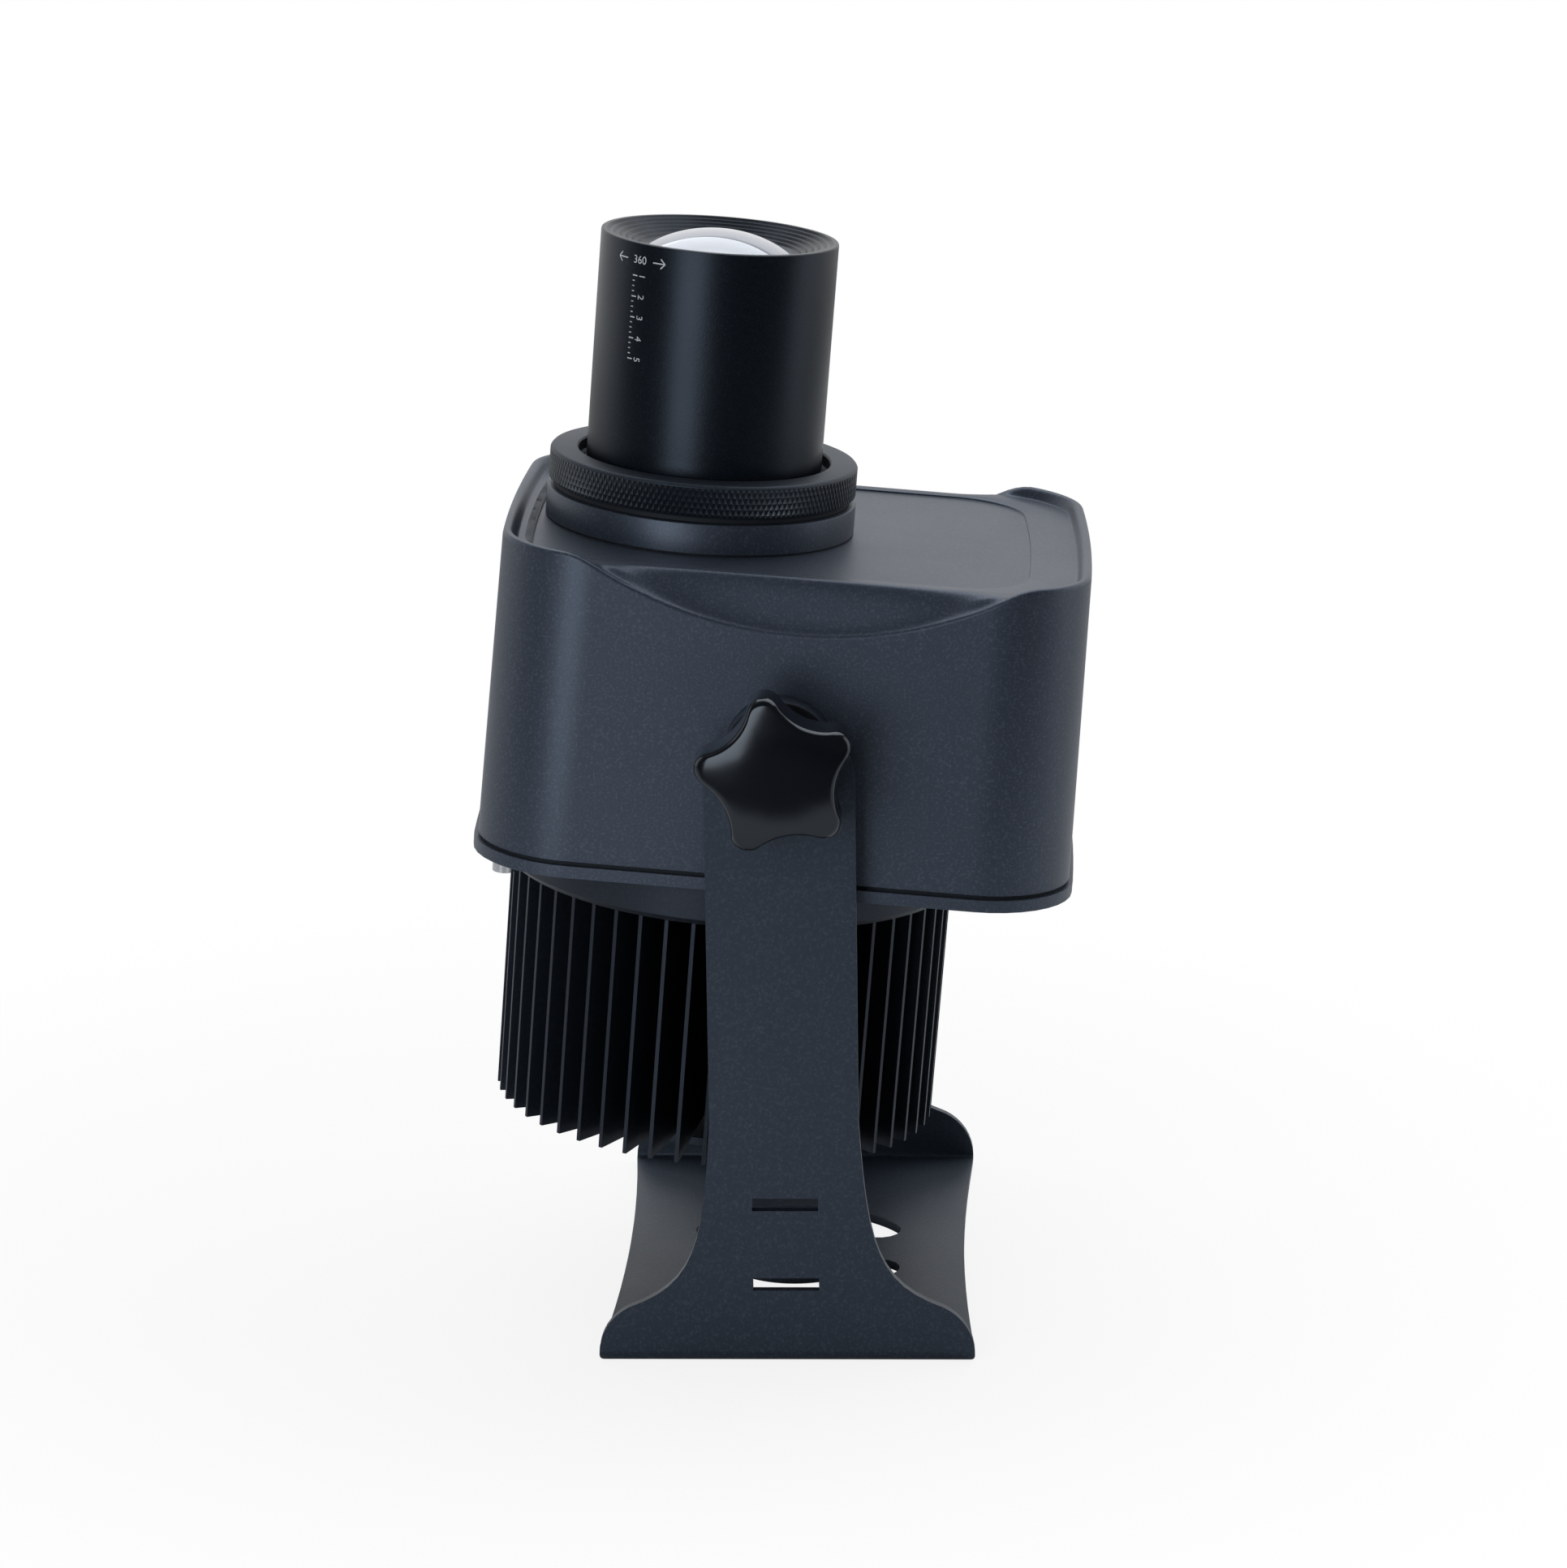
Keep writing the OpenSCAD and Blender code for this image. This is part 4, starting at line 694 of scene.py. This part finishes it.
def makeScale():
    bm = bmesh.new()
    m = label
    z = m["arrowZ"]
    for side in (-1, 1):
        addBar(bm, side * m["shaftX"], z, m["shaft"], m["stroke"])
        addBar(bm, side * m["tipX"], z + m["tipRise"], m["tip"], m["stroke"], side * 45)
        addBar(bm, side * m["tipX"], z - m["tipRise"], m["tip"], m["stroke"], -side * 45)
    addNumber(bm, "360", 0, z, m["turnSize"], 0)
    for n in range(m["marks"]):
        level = m["scaleTop"] - m["firstDrop"] - n * m["gap"]
        addBar(bm, m["markX"], level, m["mark"], m["stroke"])
        addNumber(bm, str(n + 1), m["numberX"], level, m["numberSize"], 90)
        if n < m["marks"] - 1:
            for k in (1, 2, 3):
                addBar(bm, m["smallX"], level - k * m["gap"] / 4, m["small"], m["smallStroke"])
    wrapOnBarrel(bm, "focusScale")


makeScale()
print("scale made")


# star knobs

knob = {
    "lobes": 5, "tip": 25.3, "hollow": 18.3, "lobe": 5.1, "lobeSteps": 10, "phase": 39.0, "starY": 102.75,
    "thick": 13.0, "dome": 3.2, "round": 2.2, "backRound": 1.0, "hubR": 10.0, "hubY": 94.8, "hole": 4.05,
    "holeDepth": 5.9}


def starOutline():
    # the hollows between the lobes are arcs that touch the lobes
    k = knob
    half = 180 / k["lobes"]
    lobeC = k["tip"] - k["lobe"]
    cosH, sinH = math.cos(math.radians(half)), math.sin(math.radians(half))
    hollowR = (lobeC ** 2 + k["hollow"] ** 2 - k["lobe"] ** 2 - 2 * lobeC * k["hollow"] * cosH) / (
        2 * (lobeC * cosH + k["lobe"] - k["hollow"]))
    hollowC = k["hollow"] + hollowR
    touch = math.degrees(math.atan2(hollowC * sinH, hollowC * cosH - lobeC))
    sweep = touch - half
    steps = k["lobeSteps"]
    points = []
    for n in range(k["lobes"]):
        a = n * 360 / k["lobes"]
        ca, sa = math.cos(math.radians(a)), math.sin(math.radians(a))
        points += arc(k["lobe"], a - touch, a + touch, steps, (lobeC * ca, lobeC * sa))
        b = math.radians(a + half)
        centre = (hollowC * math.cos(b), hollowC * math.sin(b))
        points += arc(hollowR, a + half + 180 + sweep, a + half + 180 - sweep, 2 * steps, centre)[1:-1]
    return points


def domeHeight(radius):
    # the front is flat in the middle and steeper near the tips
    share = radius / knob["tip"]
    return knob["thick"] + knob["dome"] * (1 - 0.25 * share ** 2 - 0.75 * share ** 4)


def starRings(outline):
    k = knob
    rings = []
    for angle in range(0, 91, 18):  # rounded back edge
        a = math.radians(angle)
        rings.append((1 - k["backRound"] * (1 - math.sin(a)) / k["tip"],
                      lambda r, a=a: k["backRound"] * (1 - math.cos(a))))
    for angle in range(0, 91, 10):  # rounded front edge
        a = math.radians(angle)
        rings.append((1 - k["round"] * (1 - math.cos(a)) / k["tip"],
                      lambda r, a=a: domeHeight(r) - k["round"] * (1 - math.sin(a))))
    rings += [(share, domeHeight) for share in (0.86, 0.78, 0.66, 0.52, 0.38, 0.24, 0.12)]
    return [[(x * scale * mm, y * scale * mm, level(math.hypot(x, y) * scale) * mm) for x, y in outline]
            for scale, level in rings]


def hubRings(outline):
    # the round hub, from the bottom of the stud's hole out to the star
    k = knob
    low = k["hubY"] - k["starY"]
    profile = [(k["hole"], k["holeDepth"]), (k["hole"], low), (k["hubR"] - 0.5, low), (k["hubR"], low + 0.5),
               (k["hubR"], -0.6), (k["hubR"] + 0.25, -0.15), (k["hubR"] + 0.7, 0)]
    return [[(x * r * mm / math.hypot(x, y), y * r * mm / math.hypot(x, y), z * mm) for x, y in outline]
            for r, z in profile]


def makeKnob(name, node, body, side):
    bm = bmesh.new()
    outline = starOutline()
    loops = joinRings(bm, hubRings(outline) + starRings(outline))
    bmesh.ops.contextual_create(bm, geom=loops[0])
    bmesh.ops.contextual_create(bm, geom=loops[-1])
    # the star is drawn flat: its face looks along Z, so it is turned to look out of the arm
    turn = Matrix.Rotation(math.radians(knob["phase"]), 4, "Y") @ Matrix.Rotation(math.pi / 2, 4, "X")
    place = Matrix.Translation((0, -knob["starY"] * mm, 0)) @ turn
    if side > 0:
        place = Matrix.Scale(-1, 4, (0, 1, 0)) @ place
    closePiece(bm, name, "knob", body, (node,), headPlace @ place, 50)


makeKnob("starKnobNear", "knob_near", "knob_near", -1)
makeKnob("starKnobFar", "knob_far", "knob_far", 1)
for part in ("knob_washer_near", "knob_washer_far"):
    copyNode(part, "steel", 0.3)
print("knobs made")


# pieces inside keep their CAD shape

inside = {
    "steel": ["heatsink_screws", "led_board_screws", "condenser_screws", "gobo_holder_screws", "driver_screws",
              "collar_screws", "guide_pins", "carriage_clip", "gobo_spring_ring", "gobo_disc", "knob_stud_near",
              "knob_stud_far"],
    "brass": ["pivot_inserts"],
    "rubber": ["heatsink_seal"],
    "alloy": ["gobo_holder", "focus_carriage", "led_driver"],
    "anodised": ["condenser_tube", "condenser_spacer", "condenser_ring", "rear_lens_ring", "lens_spacer",
                 "inner_lens_ring"],
    "board": ["led_board"],
    "emitter": ["led_emitter"],
    "terminal": ["terminal_block"],
    "glass": ["condenser_lens_rear", "condenser_lens_front", "rear_lens", "inner_lens"],
}
for material, nodes in inside.items():
    for node in nodes:
        mesh = frame["nodes"][node].data
        mesh.materials.clear()
        mesh.materials.append(finish[material])
print("inside pieces finished")


# studio

studio = {
    "floorSize": 6.0, "shadow": 0.14, "shadowPlace": (-0.07, 0.03, 0), "shadowReach": (0.13, 0.44),
    "tableFront": (-0.62, -0.46), "pale": 0.86, "dim": 0.07, "front": 0.06, "behind": 0.95, "band": 0.2,
    "lampColour": (0.92, 0.96, 1.0),
    "keyLamp": {"place": (-0.44, -1.08, 0.40), "aim": (0, 0, 0.15), "size": (0.56, 1.0), "power": 6.7},
    "rightLamp": {"place": (1.2, 0.0, 0.40), "aim": (0, 0, 0.2), "size": (0.5, 1.0), "power": 1.1},
    "topLamp": {"place": (0.18, 0.62, 1.55), "aim": (0, 0, 0.2), "size": (2.0, 1.4), "power": 17.5}}


def smoothShare(tree, value, low, high):
    return Value(tree, addNode(tree, "ShaderNodeMapRange", {"interpolation_type": "SMOOTHSTEP"}, {
        "Value": value, "From Min": low, "From Max": high}).outputs["Result"])


def addFloor():
    # the pale table ends a little way in front, and the camera sees white all round
    bm = bmesh.new()
    bmesh.ops.create_grid(bm, x_segments=1, y_segments=1, size=studio["floorSize"] / 2)
    mesh = bpy.data.meshes.new("floor")
    bm.to_mesh(mesh)
    bm.free()
    material, tree = newMaterial("paleFloor")
    coords = Value(tree, addNode(tree, "ShaderNodeTexCoord").outputs["Object"])
    away = Value(tree, addNode(tree, "ShaderNodeVectorMath", {"operation": "DISTANCE"}, {
        0: coords, 1: studio["shadowPlace"]}).outputs["Value"])
    depth = Value(tree, addNode(tree, "ShaderNodeSeparateXYZ", {}, {"Vector": coords}).outputs[1])
    table = smoothShare(tree, depth, *studio["tableFront"])
    colour = blendColour(tree, table, [studio["dim"]] * 3, [studio["pale"]] * 3)
    ray = addNode(tree, "ShaderNodeLightPath")
    seen = Value(tree, ray.outputs["Is Camera Ray"])
    keep = studio["shadow"] * (1 - smoothShare(tree, away, *studio["shadowReach"]))
    lit = addNode(tree, "ShaderNodeBsdfDiffuse", {}, {"Color": colour})
    glow = addNode(tree, "ShaderNodeEmission", {}, {"Color": (1, 1, 1, 1), "Strength": 1.0})
    mixed = addNode(tree, "ShaderNodeMixShader", {}, {"Fac": seen * (1 - keep)})
    tree.links.new(lit.outputs[0], mixed.inputs[1])
    tree.links.new(glow.outputs[0], mixed.inputs[2])
    closeMaterial(tree, mixed)
    mesh.materials.append(material)
    floor = bpy.data.objects.new("floor", mesh)
    bpy.context.scene.collection.objects.link(floor)


def addLamp(name):
    made = studio[name]
    data = bpy.data.lights.new(name, "AREA")
    data.shape = "RECTANGLE"
    data.size, data.size_y = made["size"]
    data.energy = made["power"]
    data.color = studio["lampColour"]
    lamp = bpy.data.objects.new(name, data)
    bpy.context.scene.collection.objects.link(lamp)
    towards = Vector(made["aim"]) - Vector(made["place"])
    turn = towards.to_track_quat("-Z", "Y").to_matrix().to_4x4()
    lamp.matrix_world = Matrix.Translation(made["place"]) @ turn


def addWorld():
    # a white backdrop behind the object, a dimmer band above it, and a dark room in front
    world = bpy.data.worlds.new("studio")
    bpy.context.scene.world = world
    world.use_nodes = True
    tree = world.node_tree
    tree.nodes.clear()
    coords = addNode(tree, "ShaderNodeTexCoord")
    parts = addNode(tree, "ShaderNodeSeparateXYZ", {}, {"Vector": Value(tree, coords.outputs["Generated"])})
    behind = smoothShare(tree, Value(tree, parts.outputs[1]), -0.25, 0.35)
    height = Value(tree, parts.outputs[2])
    bright, band = studio["behind"], studio["band"]
    levels = [(0.0, bright), (0.50, bright), (0.57, band), (0.80, band), (0.88, bright * 0.8)]
    share = behind * ramp(tree, height, levels) + (1 - behind) * studio["front"]
    ray = addNode(tree, "ShaderNodeLightPath")
    seen = Value(tree, ray.outputs["Is Camera Ray"])
    strength = share * (1 - seen) + seen
    back = addNode(tree, "ShaderNodeBackground", {}, {"Color": (1, 1, 1, 1), "Strength": strength})
    out = addNode(tree, "ShaderNodeOutputWorld")
    tree.links.new(back.outputs[0], out.inputs["Surface"])


addFloor()
addWorld()
for lampName in ("keyLamp", "rightLamp", "topLamp"):
    addLamp(lampName)
bpy.context.scene.view_settings.view_transform = "Standard"
print("studio made")
